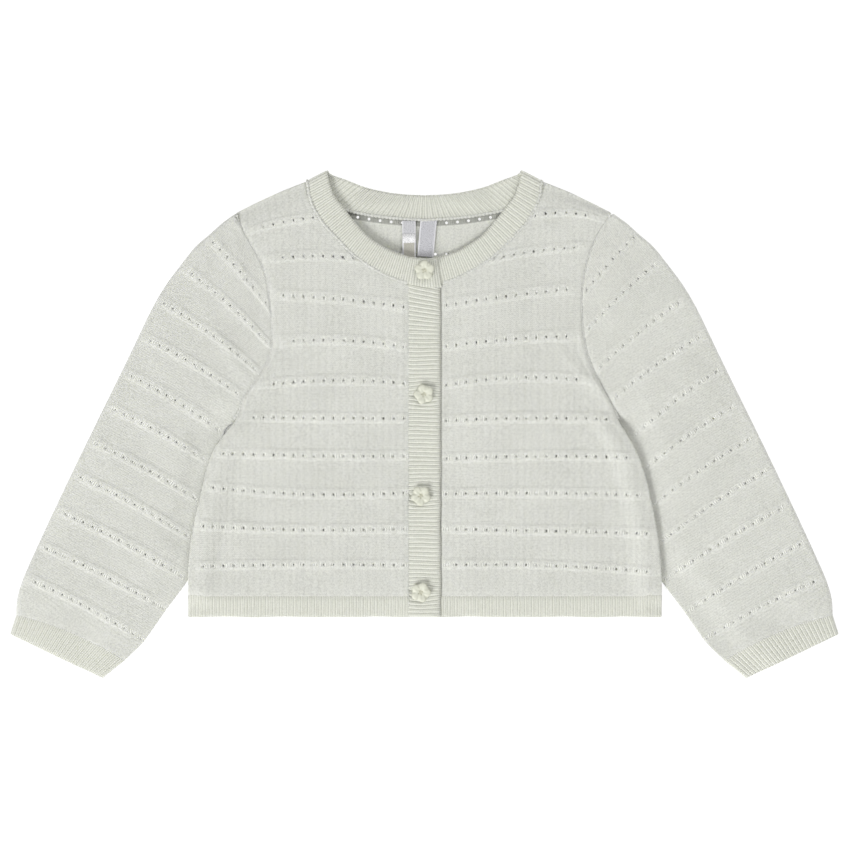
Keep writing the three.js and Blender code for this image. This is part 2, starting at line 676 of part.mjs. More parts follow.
// Place on the neckband: s runs from the overlapping front end round the back to the other end,
// and w from the seam to the free edge
function neckbandPoint(s, w, out) {
  const half = NECKBAND.length - 1;
  const side = s < 0 ? "right" : "left";
  const place = half - Math.abs(s);
  const read = (column) => (place < 0 ? extendedEnd(column, place) : readRows(NECKBAND, column, place));
  const turn = place < 0 ? 0 : readRows(NECKBAND, "turn", place);
  const angle = Math.PI * THREE.MathUtils.clamp(turn, 0, 1);
  const x = mix(read("seamX"), read("freeX"), w);
  const y = mix(read("seamY"), read("freeY"), w);
  const centreUnder = side === "right" ? BUTTONHOLE_BAND_UNDER : BUTTON_BAND_UNDER;
  const frontUnder = mix(BAND_FRONT_UNDER, centreUnder, ease(ZONES.bandCrossing, x));
  const middle = RIB_WALL / 2 + frontUnder * ((1 + Math.cos(angle)) / 2);
  const outward = SHOULDER_FOLD_FACING.clone().multiplyScalar(Math.sin(angle) * out);
  return new THREE.Vector3(SIDES[side] * (x + outward.x), y + outward.y, middle + Math.cos(angle) * out);
}

// Straight run of the neckband past the centre line, where its ends cross
function extendedEnd(column, place) {
  const step = NECKBAND[1][column] - NECKBAND[0][column];
  return NECKBAND[0][column] + (column.endsWith("X") ? place * step : 0);
}

function neckbandGeometry() {
  const half = NECKBAND.length - 1;
  const rightEnd = -(half + NECKBAND_ENDS.right);
  const leftEnd = half + NECKBAND_ENDS.left;
  const fold = half - SHOULDER_FOLD_SECTION;
  const ribs = (from, to, length) => evenSteps(from, to, 2 * Math.round(length / NECK_RIB_PITCH));
  const rightFront = ribs(rightEnd, -fold, NECKBAND_FRONT_LENGTH);
  const leftFront = ribs(fold, leftEnd, NECKBAND_FRONT_LENGTH);
  const back = ribs(1 - fold, fold - 1, NECKBAND_BACK_LENGTH);
  const folded = [0.5 - fold, fold - 0.5];
  const plainBack = evenSteps(1 - fold, fold - 1, 20);
  const plainRight = evenSteps(rightEnd, -fold, 14);
  const plainLeft = evenSteps(fold, leftEnd, 14);
  const ridge = (steps, s) => Math.max(0, steps.indexOf(s)) % 2;
  return clothWall({
    columns: [...rightFront, folded[0], ...plainBack, folded[1], ...leftFront],
    rows: [0, 1],
    innerColumns: [...plainRight, folded[0], ...back, folded[1], ...plainLeft],
    innerRows: [0, 1],
    outer: (s, w) => {
      const rib = Math.max(ridge(rightFront, s), ridge(leftFront, s)) * RIB_HEIGHT;
      return neckbandPoint(s, w, RIB_WALL / 2 + rib);
    },
    inner: (s, w) => neckbandPoint(s, w, -RIB_WALL / 2 - ridge(back, s) * RIB_HEIGHT),
  });
}

function bandGeometry(edges, under, top) {
  const ribs = Math.round((top - HEM_Y) / BAND_RIB_PITCH);
  const rows = evenSteps(HEM_Y, top, 2 * ribs);
  return clothWall({
    columns: [edges.seam, edges.free],
    rows,
    innerColumns: [edges.seam, edges.free],
    innerRows: evenSteps(HEM_Y, top, 6),
    outer: (x, y) => new THREE.Vector3(x, y, under + BAND_WALL + (rows.indexOf(y) % 2) * RIB_HEIGHT),
    inner: (x, y) => new THREE.Vector3(x, y, under),
  });
}

function buttonGeometry() {
  const half = BUTTON_THICKNESS / 2;
  const profile = [
    [0, -half],
    [BUTTON_RADIUS * 0.8, -half],
    [BUTTON_RADIUS, -half * 0.3],
    [BUTTON_RADIUS * 0.94, half * 0.6],
    [BUTTON_RADIUS * 0.72, half],
    [BUTTON_RADIUS * 0.45, half * 0.45],
    [0, half * 0.4],
  ].map(([radius, height]) => new THREE.Vector2(radius, height));
  const geometry = new THREE.LatheGeometry(profile, 4 * BUTTON_PETALS);
  const position = geometry.attributes.position;
  for (let i = 0; i < position.count; i += 1) {
    const angle = Math.atan2(position.getZ(i), position.getX(i));
    const petal = 1 + PETAL_DEPTH * Math.cos(BUTTON_PETALS * angle);
    position.setX(i, position.getX(i) * petal);
    position.setZ(i, position.getZ(i) * petal);
  }
  return geometry.rotateX(Math.PI / 2);
}

function labelGeometry(label) {
  const geometry = new THREE.BoxGeometry(label.width, label.length, LABEL_THICKNESS);
  return geometry.rotateZ(label.turn);
}

const cardigan = new THREE.Group();

function addPiece(name, geometry, material) {
  const mesh = new THREE.Mesh(geometry, material);
  mesh.name = name;
  cardigan.add(mesh);
  return mesh;
}

addPiece("back_panel", backGeometry(), CLOTHS.jersey);
addPiece("back_hem_rib", backHemGeometry(), CLOTHS.rib);
addPiece("neckband", neckbandGeometry(), CLOTHS.rib);
for (const side of Object.keys(SIDES)) {
  addPiece(`${side}_front`, frontGeometry(side), CLOTHS.jersey);
  addPiece(`${side}_front_hem_rib`, frontHemGeometry(side), CLOTHS.rib);
  addPiece(`${side}_sleeve`, sleeveGeometry(side), CLOTHS.jersey);
  addPiece(`${side}_cuff`, cuffGeometry(side), CLOTHS.rib);
}
addPiece("button_band", bandGeometry(BUTTON_BAND_EDGES, BUTTON_BAND_UNDER, BAND_TOP), CLOTHS.rib);
addPiece("buttonhole_band", bandGeometry(BUTTONHOLE_EDGES, BUTTONHOLE_BAND_UNDER, BAND_TOP), CLOTHS.rib);

BUTTONS.forEach((place, i) => {
  const button = addPiece(`button_${i + 1}`, buttonGeometry(), CLOTHS.button);
  const bandTop = BUTTONHOLE_BAND_UNDER + place.wall + RIB_HEIGHT;
  button.position.set(place.x, place.y, bandTop + SEAM_GAP + BUTTON_THICKNESS / 2);
});

for (const label of LABELS) {
  const mesh = addPiece(label.name, labelGeometry(label), CLOTHS.label);
  mesh.position.set(label.x, label.y, JERSEY_WALL + SEAM_GAP + LABEL_THICKNESS / 2);
}

export default cardigan;
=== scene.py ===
# A baby's cardigan in fine cotton knit, laid flat on its back with the fronts up.
# Shapes are worked out in millimetres and built in metres. +Y runs to the neck and +X to the
# wearer's left sleeve, which is on the right of someone who looks down at it.
import math
from functools import lru_cache

import bmesh
import bpy
from mathutils import Matrix, Vector, noise


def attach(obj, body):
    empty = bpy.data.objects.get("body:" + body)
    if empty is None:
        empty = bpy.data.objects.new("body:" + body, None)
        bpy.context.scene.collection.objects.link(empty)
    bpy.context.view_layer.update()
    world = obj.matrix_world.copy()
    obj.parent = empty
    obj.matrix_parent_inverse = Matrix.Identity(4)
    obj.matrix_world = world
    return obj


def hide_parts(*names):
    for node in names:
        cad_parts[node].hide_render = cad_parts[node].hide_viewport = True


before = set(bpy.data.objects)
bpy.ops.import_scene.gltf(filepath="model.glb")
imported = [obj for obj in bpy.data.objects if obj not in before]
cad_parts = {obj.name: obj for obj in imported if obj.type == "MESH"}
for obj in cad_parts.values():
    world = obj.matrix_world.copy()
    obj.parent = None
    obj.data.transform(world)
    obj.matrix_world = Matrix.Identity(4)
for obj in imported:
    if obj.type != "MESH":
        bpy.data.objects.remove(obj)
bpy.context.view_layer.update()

MM = 0.001
SIDES = {"right": -1, "left": 1}

# Walls of the cloth. The neckband, the button bands and the welts are 1x1 rib.
JERSEY_WALL = 1.4
BACK_WALL = 0.9
FRONT_CLOTH = 0.8
RIB_WALL = 1.5
BAND_WALL = 1.3
RIB_HEIGHT = 0.6
SEAM_GAP = 0.3
SEAM_OVERLAP = 0.45
SEAM_ROLL = 0.35
SEAM_ROLL_WIDTH = 1.1
END_ROLL = 1.5
END_ROLL_WIDTH = 2.6
ARMHOLE_ROLL = 0.9
ARMHOLE_ROLL_WIDTH = 2.4
ARMHOLE_RIDGE = 0.4
ARMHOLE_RIDGE_PLACE = 2.3
ARMHOLE_RIDGE_WIDTH = 1.2

# Thickness of the knitted sheets of rib, without their relief
BACK_RIB_HEIGHT = 0.45
RIB_CLOTH = RIB_WALL - 0.2
BACK_RIB_CLOTH = RIB_WALL - BACK_RIB_HEIGHT

# Gap that opens between a sleeve and the body at the underarm: depth, half width and half length
UNDERARM_GAP = {"right": 2.5, "left": 1.4}
UNDERARM_GAP_WIDTH = 4.6
UNDERARM_GAP_LENGTH = 9
UNDERARM_GAP_Y = -2

# Heights of the layers, from the floor
FRONT_UNDER = 3.6
FOLD_RADIUS = 2.5
EDGE_UNDER = JERSEY_WALL + SEAM_GAP
HEM_EDGE_UNDER = RIB_WALL + SEAM_GAP
BACK_LIFT = 3.5
FRONT_LIFT = 3.9
SLEEVE_TUCK = 5
SLEEVE_PUFF = 1.3
BUTTON_BAND_UNDER = 1.9
BUTTONHOLE_BAND_UNDER = 4.1
BAND_FRONT_UNDER = 3.3
CROSSING_RISE = 0.6
CROSSING_DIP = 1.3

# Lines across the body
SHOULDER_Y = 122.4
UNDERARM_Y = 8.5
HEM_RIB_TOP = -99.8
HEM_Y = -112

# Button front
BUTTONHOLE_EDGES = {"seam": -9.1, "free": 9.35}
BUTTON_BAND_EDGES = {"seam": 9.7, "free": -7}
BAND_TOP = 79.3
BUTTONS = [
    {"x": 0, "y": 89, "wall": RIB_WALL},
    {"x": -0.3, "y": 17.2, "wall": BAND_WALL},
    {"x": -2.1, "y": -41.6, "wall": BAND_WALL},
    {"x": -2.1, "y": -97.5, "wall": BAND_WALL},
]
BAND_TUCK = 0.5
BAND_SLANT = 0.2
BAND_EDGE_ROLL = 0.85
BUTTON_RADIUS = 5.4
BUTTON_THICKNESS = 2.4
BUTTON_PETALS = 5
PETAL_DEPTH = 0.09
BUTTON_HOLE_CIRCLE = 0.95
BUTTON_HOLE_TURNS = (0.8, 2.37, 3.94, 5.51)

# Profile of a button from its middle over the rim to the middle of its back, as shares of its
# radius and of half its thickness
BUTTON_PROFILE = [
    (0, 0.4), (0.08, 0.42), (0.16, 0.42), (0.24, 0.45), (0.32, 0.5), (0.42, 0.62), (0.54, 0.86),
    (0.66, 0.98), (0.76, 1), (0.85, 0.95), (0.92, 0.8), (0.97, 0.55), (1, 0.1),
    (0.97, -0.6), (0.85, -1), (0.4, -1), (0, -1),
]

# Chain of loops that links the neckband on
CHAIN_PITCH = 2.1
CHAIN_HALF_WIDTH = 0.95
CHAIN_HALF_HEIGHT = 0.45
CHAIN_ENDS = {"right": 0.78, "left": 0.86}

# Chain in the armhole, by its distance outside the edge of the body and its height
ARMHOLE_SEAM = {"outside": 0.6, "height": 4.3}

# Knit: width of a wale, height of a course, and rib pitches from ridge to ridge
WALE = 1.35
COURSE = 1.0
HEM_RIB_PITCH = 2.03
CUFF_RIB_PITCH = 2.15
BAND_RIB_PITCH = 2.52
HEM_SHALLOWNESS = 0.65
CUFF_RIB_HEIGHT = 0.4
NECK_RIB_PITCH = 2.75

# Rise of the two legs of a stitch, in courses across half a wale
STITCH_SLANT = 1.8

# Painted shade inside the back neck: a darker strip along the thin lace course below the neckband, where
# shade falls. Distance down the cloth, half width, how dark it looks and its colour
PAINTED_SHADE_COURSE = {"place": 21.3, "half_width": 1.9, "strength": 0.6, "tone": "#83847d"}

# Band of full stitches along a row of eyelets, raised in the bump and painted lighter as painted
# highlights: distances where it has faded out and is complete
LACE_BAND = (3.4, 2.2)

# Repeat of the weave of a label tape
TAPE_WEAVE = 0.5

# How far light travels in the yarn
LIGHT_TRAVEL = 0.5

# Rows of eyelets: spacing of the rows, pitch of the eyelets, and half sizes of one hole
ROW_SPACING = 21.5
EYELET_PITCH = 5.8
EYELET_HALF = Vector((0.46, 0.7))
SLEEVE_EYELET_SHARE = 0.82

# The back has its eyelets further apart, and those that show inside its neck are the most open
BACK_EYELET_PITCH = 6.45
NECK_EYELET_HALF = Vector((0.85, 0.9))

# Plain cloth of a front beside its eyelets: wales along the armhole down to its last row, then
# distances at the side and at the button band
EDGE_WALES = 6
ARMHOLE_LAST_ROW = 5
SIDE_MARGIN = 4.5
CENTRE_MARGIN = 3.4

# Plain cloth of the other pieces beside their eyelets: at the sides of the back, at the two ends of
# a sleeve's seamed edge, where that edge is tucked under the body, and at a sleeve's fold
BACK_MARGIN = 6.5
CUFF_MARGIN = 2
ARMPIT_MARGIN = 5.5
TUCK_MARGIN = 3.5
FOLD_MARGIN = 4.6

# Grid steps across each piece of jersey
FRONT_GRID = 118
BACK_GRID = 160
SLEEVE_GRID = 136

# Relief across one row of eyelets, like a soft roof tile: place below the row as a share of the
# row spacing, and height
ROW_RELIEF = [
    (-0.5, 0.08),
    (-0.32, 0.1),
    (-0.24, 0.12),
    (-0.19, 0.15),
    (-0.145, 0.4),
    (-0.1, 0.5),
    (0, 0.52),
    (0.06, 0.49),
    (0.09, 0.38),
    (0.125, 0.13),
    (0.155, 0.01),
    (0.22, -0.04),
    (0.35, 0),
    (0.5, 0.08),
]

# Armhole and side of the body from the hem up: height, then distance from the middle on the
# right and on the left of the wearer
BODY_SIDE = [
    (-112, 137, 137.5),
    (-95, 137, 137.5),
    (-87, 137, 137.3),
    (-72, 135.8, 136),
    (-57.5, 133.5, 134),
    (-34, 128, 129),
    (-22, 125, 125.3),
    (-14, 121.5, 121.8),
    (-6, 115.8, 117.3),
    (1, 110.5, 113),
    (8.5, 106.5, 109.5),
    (16, 104, 105.5),
    (24, 98, 101),
    (34, 91.8, 96.2),
    (40, 89, 94),
    (46, 87.6, 92.6),
    (57.5, 87.7, 91),
    (72, 89, 90.5),
    (84.5, 91, 91.5),
    (93.5, 94, 93.3),
    (101.5, 98.6, 95.8),
    (109.5, 103.4, 99.5),
    (117, 107, 104),
    (122.4, 109, 108.2),
]
SIDE_COLUMN = {"right": 1, "left": 2}

# Back neck seam from the middle out, and the shoulder line from there to the armhole: x, y
BACK_NECK = [(0, 118.5), (19.4, 119.8), (34, 121.8), (48.4, 125), (59, 131), (68.9, 140.6)]
SHOULDER = [(68.9, 140.6), (84, 134.6), (96, 128.8), (109, 122.4)]

# Seam between a front and the neckband, from the centre front up to the shoulder: y, x
NECK_SEAM = [
    (79.5, 7),
    (82.4, 12.5),
    (86.4, 22.9),
    (91.9, 32.8),
    (98.6, 42),
    (106.7, 50.2),
    (116, 58.8),
    (124.7, 64.2),
    (132.2, 67),
    (140.9, 68.7),
]

# How far a knitted-on rib starts below the jersey that it grows from
RIB_START = 0.04

# Grid steps in each rib
RIB_STEPS = 6

# Share of the relief that is left where the cloth is pressed flat on the floor
UNDERSIDE_RELIEF = 0.28

# Rows of eyelets from the shoulder to the hem rib: row number, then height of the row at the
# armhole or side, half way, and at the centre front
FRONT_ROWS = {
    "right": [
        (0, 122.4, 132.5, 140.6),
        (1, 110.8, 116.9, 120),
        (2, 94.8, 97.4, 95.7),
        (3, 74.8, 72.5, 67.3),
        (4, 47.3, 48.6, 44),
        (5, 21.5, 25.3, 23.2),
        (6, 4, 3.5, 3.2),
        (7, -16.8, -18.3, -18.6),
        (8, -36, -40.6, -39.7),
        (9, -58.6, -61.3, -60.6),
        (10, -82.7, -81.6, -81.8),
        (11, -99.8, -99.8, -99.8),
    ],
    "left": [
        (0, 122.4, 132.5, 140.6),
        (1, 117.5, 122.5, 120),
        (2, 102.7, 100.6, 95),
        (3, 78.9, 74.5, 68.4),
        (4, 51, 49.3, 44.7),
        (5, 24.4, 27, 22),
        (6, 2.6, 3.5, 1.7),
        (7, -19.7, -18.6, -20.3),
        (8, -41.5, -40, -40.6),
        (9, -63.5, -62, -60.9),
        (10, -86.4, -82.1, -81.8),
        (11, -99.8, -99.8, -99.8),
    ],
}
FRONT_LAST_ROW = 10

# Rows of eyelets on the back panel: row number and height at the middle of the body. The panel
# starts at the neck seam, a little above its first row.
BACK_TOP_ROW = 0.87
BACK_ROWS = [
    (0, 141.1),
    (1, 120.1),
    (2, 100.1),
    (3, 77),
    (4, 51),
    (5, 27),
    (6, 4),
    (7, -18),
    (8, -40),
    (9, -61),
    (10, -82),
    (11, -99.8),
]

# Outer fold of a sleeve, from the cuff up, and its seamed edge below the body: y, x
SLEEVE_FOLD = [
    (-111, 237.3),
    (-100, 236.3),
    (-86, 231.5),
    (-30, 205.5),
    (39.5, 171.5),
    (67.5, 158),
    (81, 150),
    (95, 139.5),
    (103, 133),
    (110, 125),
    (117, 117),
    (122.4, 109.5),
]
SLEEVE_EDGE = [(-138, 175), (-128, 164.5), (-121, 159.3), (-107, 149.5), (-93, 139), (-88, 136.3)]

# Rows of eyelets on the sleeves, from the cap to the cuff: row number, height at the outer fold,
# and height at the armhole or seamed edge
SLEEVE_ROWS = {
    "right": [
        (0, 122.2, 121.2),
        (1, 109, 66),
        (2, 92.2, 44),
        (3, 72.5, 29),
        (4, 51.6, 15),
        (5, 30.7, -6),
        (6, 11, -25),
        (7, -9.3, -47.6),
        (8, -28.4, -69.6),
        (9, -49.3, -90.5),
        (10, -70.2, -107.9),
        (11, -88.7, -125.9),
        (12, -110.8, -137.5),
    ],
    "left": [
        (0, 122.2, 121.2),
        (1, 110.8, 73.7),
        (2, 96.3, 51),
        (3, 74.8, 29.6),
        (4, 53.4, 12.8),
        (5, 33.6, -9.3),
        (6, 13.3, -30),
        (7, -5.8, -51),
        (8, -24.4, -73),
        (9, -45.8, -91.6),
        (10, -67.3, -110),
        (11, -88.7, -125.3),
        (12, -110.8, -137.5),
    ],
}
SLEEVE_LAST_ROW = 11
ROW_BOW = 2

# Cuff, from its outer fold to its seamed edge: top of the rib, then the opening
CUFF = {
    "top_fold": (237.3, -111.3),
    "top_edge": (175, -138),
    "open_fold": (240.6, -121.8),
    "open_edge": (187, -147.6),
    "bow": 3.2,
    "width": 60,
    "depth": 11,
}

# Sections of half the neckband, from the centre front over the shoulder to the centre back:
# number, seam x and y, free edge x and y, and how far the strip is turned over (0 faces up on the
# front, 1 faces down on the back)
NECKBAND = [
    (0, 0, 80.2, 0, 96, 0),
    (1, 12.5, 82.9, 9, 97.2, 0),
    (2, 22.7, 86.9, 17.7, 99.9, 0),
    (3, 32.5, 92.4, 25.2, 103.8, 0),
    (4, 41.6, 99, 33.4, 109.6, 0),
    (5, 49.8, 107.1, 39.7, 116.4, 0),
    (6, 58.3, 116.3, 46.8, 125.4, 0),
    (7, 63.7, 125, 52.3, 132.4, 0),
    (8, 66.6, 132.6, 54.8, 139, 0),
    (9, 67.3, 138.2, 56, 144.2, 0.1),
    (10, 67.4, 140.6, 55.8, 146.6, 0.5),
    (11, 65.6, 139, 54, 145, 0.9),
    (12, 58.6, 131.3, 45.5, 142, 1),
    (13, 48.2, 125.4, 34, 137.6, 1),
    (14, 33.8, 122.2, 22, 134.9, 1),
    (15, 19.3, 120.2, 11.5, 133.6, 1),
    (16, 0, 118.9, 0, 133.1, 1),
]
NECKBAND_HALF = 16
NECKBAND_WIDTH = 14
SHOULDER_FOLD_SECTION = 10
SHOULDER_FOLD_FACING = Vector((0.42, 0.91))
NECKBAND_ENDS = {"right": 0.8, "left": 0.56}

# Soft folds in the cloth: two ends, height and half width. A negative height is a trough.
TOP_CREASES = {
    "left": [
        (81, 40, 110, 10, 1.2, 3.5),
        (128, 60, 108, 26, 0.9, 4),
    ],
    "right": [
        (84, 36, 104, 12, 0.7, 3),
        (124, 62, 104, 26, 0.8, 4),
    ],
}
UNDER_CREASES = {
    "left": [(82, 42, 108, 14, 0.45, 4), (150, 20, 118, 2, -0.35, 5)],
    "right": [(84, 38, 106, 12, 0.4, 4), (152, 22, 120, 4, -0.35, 5)],
}

# Woven labels at the back neck: middle, width, length, turn, and how far they stand up
NECK_LABEL = {"x": 1.5, "y": 108, "width": 9.5, "length": 22, "turn": -0.09, "lift": 0, "bulge": 0.05}
SIZE_LABEL = {"x": -9, "y": 107.9, "width": 7.8, "length": 20.6, "turn": 0, "lift": 0, "bulge": 0.05}
SATIN_FOLD = {"x": -9, "y": 107.9, "width": 7.6, "length": 5.4, "turn": 0.03, "lift": 0.2, "bulge": 1.1}
CARE_TAPE = {"x": -8.9, "y": 101.2, "width": 7.2, "length": 9.2, "turn": 0.02, "lift": 0.15, "bulge": 0.1}
LABEL_THICKNESS = 1

# Narrowing stitches on the fronts, beside the armholes: x, y
FASHION_MARKS = {
    "right": [(84.4, 33.6), (88.5, 28.4), (93.7, 22.6), (96.6, 18.6)],
    "left": [(88.6, 38.4), (92.3, 32), (97.2, 26.4), (101.2, 21.5)],
}

# Stretches over which one form runs into the next: where a change starts and where it is complete
SIDE_LIFT = (20, 6)
SIDE_CLOSING = (14, 1)
UNDERARM = (UNDERARM_Y, -6)
HEM_CORNER = (-108, -95)
HEM_SETTLING = (HEM_RIB_TOP, HEM_Y)
NECK_RISE = (85, SHOULDER_Y)
TUCK_TOP = (-8, -28)
TUCK_BOTTOM = (-92, -80)
SEAMED_EDGE = (-97, -88)
WELT_START = (HEM_RIB_TOP, HEM_RIB_TOP - 2)
RIGHT_CROSSING = (32, 12)
LEFT_CROSSING = (28, 12)
BAND_CROSSING = (30, 12)
SHOULDER_CLOSING = (0.75, 0)
BOW_TOP = (0, 2)
BOW_CUFF = (11, 12)
PUFF_CUFF = (12, 10.5)
RELIEF_SIDE = (0, 6)
RELIEF_CENTRE = (0, 3)
PUFF_FOLD = (2, 24)
PUFF_EDGE = (4, 30)
EDGE_FLAT = (22, 6)
RIDGE_BOTTOM = (-8, 8)
RIDGE_TOP = (70, 40)
RELIEF_FOLD = (0, 8)
RELIEF_ARMHOLE = (0, 4)
RELIEF_EDGE = (6, 14)
RELIEF_FRONT_END = (11, 10.7)
RELIEF_SLEEVE_END = (12, 11.7)


# Numbers and curves

def clamp(value, low=0.0, high=1.0):
    return max(low, min(high, value))


def mix(a, b, t):
    return a + (b - a) * t


def ease(zone, value):
    """Smooth step from 0 at the start of a zone to 1 at its end."""
    start, end = zone
    t = clamp((value - start) / (end - start))
    return t * t * (3 - 2 * t)


def bump(value, width):
    return math.exp(-((value / width) ** 2))


def read_curve(table, column, value):
    """Reads a column of a table by a smooth curve through its rows, whose first column rises."""
    last = len(table) - 1
    i = 0
    while i < last - 1 and table[i + 1][0] < value:
        i += 1

    def slope(a, b):
        return (table[b][column] - table[a][column]) / (table[b][0] - table[a][0])

    start_slope = slope(i - 1, i + 1) if i > 0 else slope(i, i + 1)
    end_slope = slope(i, i + 2) if i + 2 <= last else slope(i, i + 1)
    span = table[i + 1][0] - table[i][0]
    t = clamp((value - table[i][0]) / span)
    rise = t * t * (3 - 2 * t)
    bend = t * (1 - t) * span * (start_slope * (1 - t) - end_slope * t)
    return mix(table[i][column], table[i + 1][column], rise) + bend


def even_steps(start, end, count):
    return [mix(start, end, i / count) for i in range(count + 1)]


def distances_along(path):
    """Distance of each point from the start of a path."""
    along = [0]
    for a, b in zip(path, path[1:]):
        along.append(along[-1] + (b - a).length)
    return along


def even_places(along, count):
    """Evenly spaced places on a path: the point before each, and the share of the way to the next."""
    i = 0
    for distance in even_steps(0, along[-1], count):
        while i < len(along) - 2 and along[i + 1] < distance:
            i += 1
        yield i, clamp((distance - along[i]) / (along[i + 1] - along[i]))


def unevenness(x, y, size, seed):
    """Smooth variation of about -1 to 1, with lumps of the given size."""
    return noise.noise(Vector((x / size, y / size, seed))) * 1.6


# Meshes

def new_piece(name, mesh, material):
    """Makes an object of a finished bmesh, in metres, with smooth faces."""
    bmesh.ops.transform(mesh, matrix=Matrix.Scale(MM, 4), verts=mesh.verts)
    for face in mesh.faces:
        face.smooth = True
    data = bpy.data.meshes.new(name)
    mesh.to_mesh(data)
    mesh.free()
    data.materials.append(material)
    piece = bpy.data.objects.new(name, data)
    bpy.context.scene.collection.objects.link(piece)
    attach(piece, "root")
    return piece


# The neighbours of a grid point, which make the rim of an eyelet
RING = [(a, b) for a in (-1, 0, 1) for b in (-1, 0, 1) if (a, b) != (0, 0)]


def local_axes(place, column, row):
    """A point of the cloth, with the directions along its row and square to it."""
    step = 1e-3
    along = place(column + step, row) - place(column - step, row)
    down = place(column, row + step) - place(column, row - step)
    along.normalize()
    down = (down - along * down.dot(along)).normalized()
    return place(column, row), along, down


def knit_sheet(name, columns, rows, place, cloth_place, wall, material, facing=1, eyelets=()):
    """A sheet of knit over a grid of columns and rows. place gives a point of its outer face and
    cloth_place the same point on the flat cloth. facing is 1 where the outer face looks up at three
    quarters of the columns, and -1 where it looks down. An eyelet is a column, a row and the half
    sizes of its hole."""
    mesh = bmesh.new()
    uv = mesh.loops.layers.uv.new("cloth")
    last_column, last_row = len(columns) - 1, len(rows) - 1
    bmesh.ops.create_grid(mesh, x_segments=last_column, y_segments=last_row, size=1)
    on_grid = {}
    for vert in mesh.verts:
        i = round((vert.co.x + 1) / 2 * last_column)
        j = round((vert.co.y + 1) / 2 * last_row)
        on_grid[i, j] = vert
    for (i, j), vert in on_grid.items():
        vert.co = place(columns[i], rows[j])
        x, y = cloth_place(columns[i], rows[j])
        for loop in vert.link_loops:
            loop[uv].uv = (x * MM, y * MM)
    holes = []
    for column, row, half in eyelets:
        i = min(range(2, last_column - 1), key=lambda n: abs(columns[n] - column))
        j = min(range(2, last_row - 1), key=lambda n: abs(rows[n] - row))
        centre, along_row, down_row = local_axes(place, column, row)
        for a, b in RING:
            across = along_row * (half.x * a / math.hypot(a, b))
            down = down_row * (half.y * b / math.hypot(a, b))
            on_grid[i + a, j + b].co = centre + across + down
        holes.append(on_grid[i, j])
    bmesh.ops.delete(mesh, geom=holes, context="VERTS")
    mesh.normal_update()
    probe = place(columns[last_column * 3 // 4], rows[last_row // 2])
    nearest = min(mesh.faces, key=lambda face: (face.calc_center_median() - probe).length_squared)
    if nearest.normal.z * facing < 0:
        bmesh.ops.reverse_faces(mesh, faces=mesh.faces)
    piece = new_piece(name, mesh, material)
    solidify = piece.modifiers.new("cloth wall", "SOLIDIFY")
    solidify.thickness = wall * MM
    solidify.offset = -1
    return piece


def rib_profile(ribs):
    """Height of a rib, from 0 in a furrow to 1 on a ridge, for a place counted in ribs."""
    return 0.5 - 0.5 * math.cos(2 * math.pi * ribs)


# Cloth of the body and sleeves

def row_steps(last_row, first=0):
    """Lines of a grid down the rows of eyelets, closer at the holes and at the relief beside them."""
    above = (-0.42, -0.33, -0.25, -0.2, -0.17, -0.15, -0.13, -0.11, -0.08, -0.04)
    below = (0, 0.04, 0.075, 0.1, 0.12, 0.14, 0.16, 0.19, 0.24, 0.32, 0.41, 0.5)
    steps = [0, 0.04, 0.1, 0.2, 0.3, 0.4, 0.5]
    for row in range(1, last_row + 1):
        steps += [row + offset for offset in above + below]
    steps += [last_row + offset for offset in (0.6, 0.7, 0.8, 0.88, 0.94, 0.97, 1)]
    return [first] + [step for step in steps if step > first + 0.01]


def row_relief(row, last_row, x, seed):
    """Rounded tuck and hollow along a row of eyelets, uneven and slightly gathered at the eyelets."""
    nearest = clamp(round(row), 1, last_row)
    away = row - nearest + 0.012 * unevenness(x, nearest * 40, 16, seed)
    strength = 1 + 0.3 * unevenness(x, nearest * 40, 11, seed + 3)
    gather = 0.06 * unevenness(x, row * ROW_SPACING, 1.7, seed) * bump(away, 0.1)
    return read_curve(ROW_RELIEF, 1, clamp(away, -0.5, 0.5)) * strength + gather


def eyelet_half(n, row, seed):
    """Half sizes of an eyelet: some are drawn nearly closed by the yarn."""
    return EYELET_HALF * clamp(0.9 + 0.25 * unevenness(n * 7, row * 13, 5, seed), 0.65, 1.15)


def eyelet_shift(n, row, seed):
    """How far an eyelet stands off its even place along the row."""
    return 0.3 * unevenness(n * 9, row * 9, 5, seed)


def settling(x, y, seed):
    """Slow waves of cloth that was smoothed down by hand."""
    return 0.3 * unevenness(x, y, 26, seed) + 0.12 * unevenness(x, y, 9, seed + 5)


def seam_roll(distance):
    """How far the cloth turns down at an edge that is linked to another piece."""
    return SEAM_ROLL * bump(max(distance, 0), SEAM_ROLL_WIDTH)


def crease_height(creases, x, y):
    height = 0
    for x1, y1, x2, y2, rise, width in creases:
        along = Vector((x2 - x1, y2 - y1))
        start = Vector((x - x1, y - y1))
        t = clamp(start.dot(along) / along.length_squared)
        away = (start - along * t).length
        height += rise * bump(away, width) * math.sin(math.pi * mix(0.15, 0.85, t))
    return height


def body_side(side, y):
    return read_curve(BODY_SIDE, SIDE_COLUMN[side], y)


def side_lift(side, x, y):
    from_edge = body_side(side, y) - abs(x)
    return ease(SIDE_LIFT, from_edge) * ease(UNDERARM, y) * ease(HEM_CORNER, y)


def side_closing(side, x, y):
    from_edge = body_side(side, y) - abs(x)
    return ease(SIDE_CLOSING, from_edge) * ease(UNDERARM, y)


def centre_shift(side, x):
    """The fronts settle differently at the centre, where one lies on the other."""
    if side == "right":
        return CROSSING_RISE * ease(RIGHT_CROSSING, abs(x))
    return -CROSSING_DIP * ease(LEFT_CROSSING, abs(x))


def front_edge(side, y):
    placket = -BUTTONHOLE_EDGES["seam"] if side == "right" else BUTTON_BAND_EDGES["seam"]
    neck = read_curve(NECK_SEAM, 1, y) if y > NECK_SEAM[0][0] else 0
    return max(placket, neck) - SEAM_OVERLAP


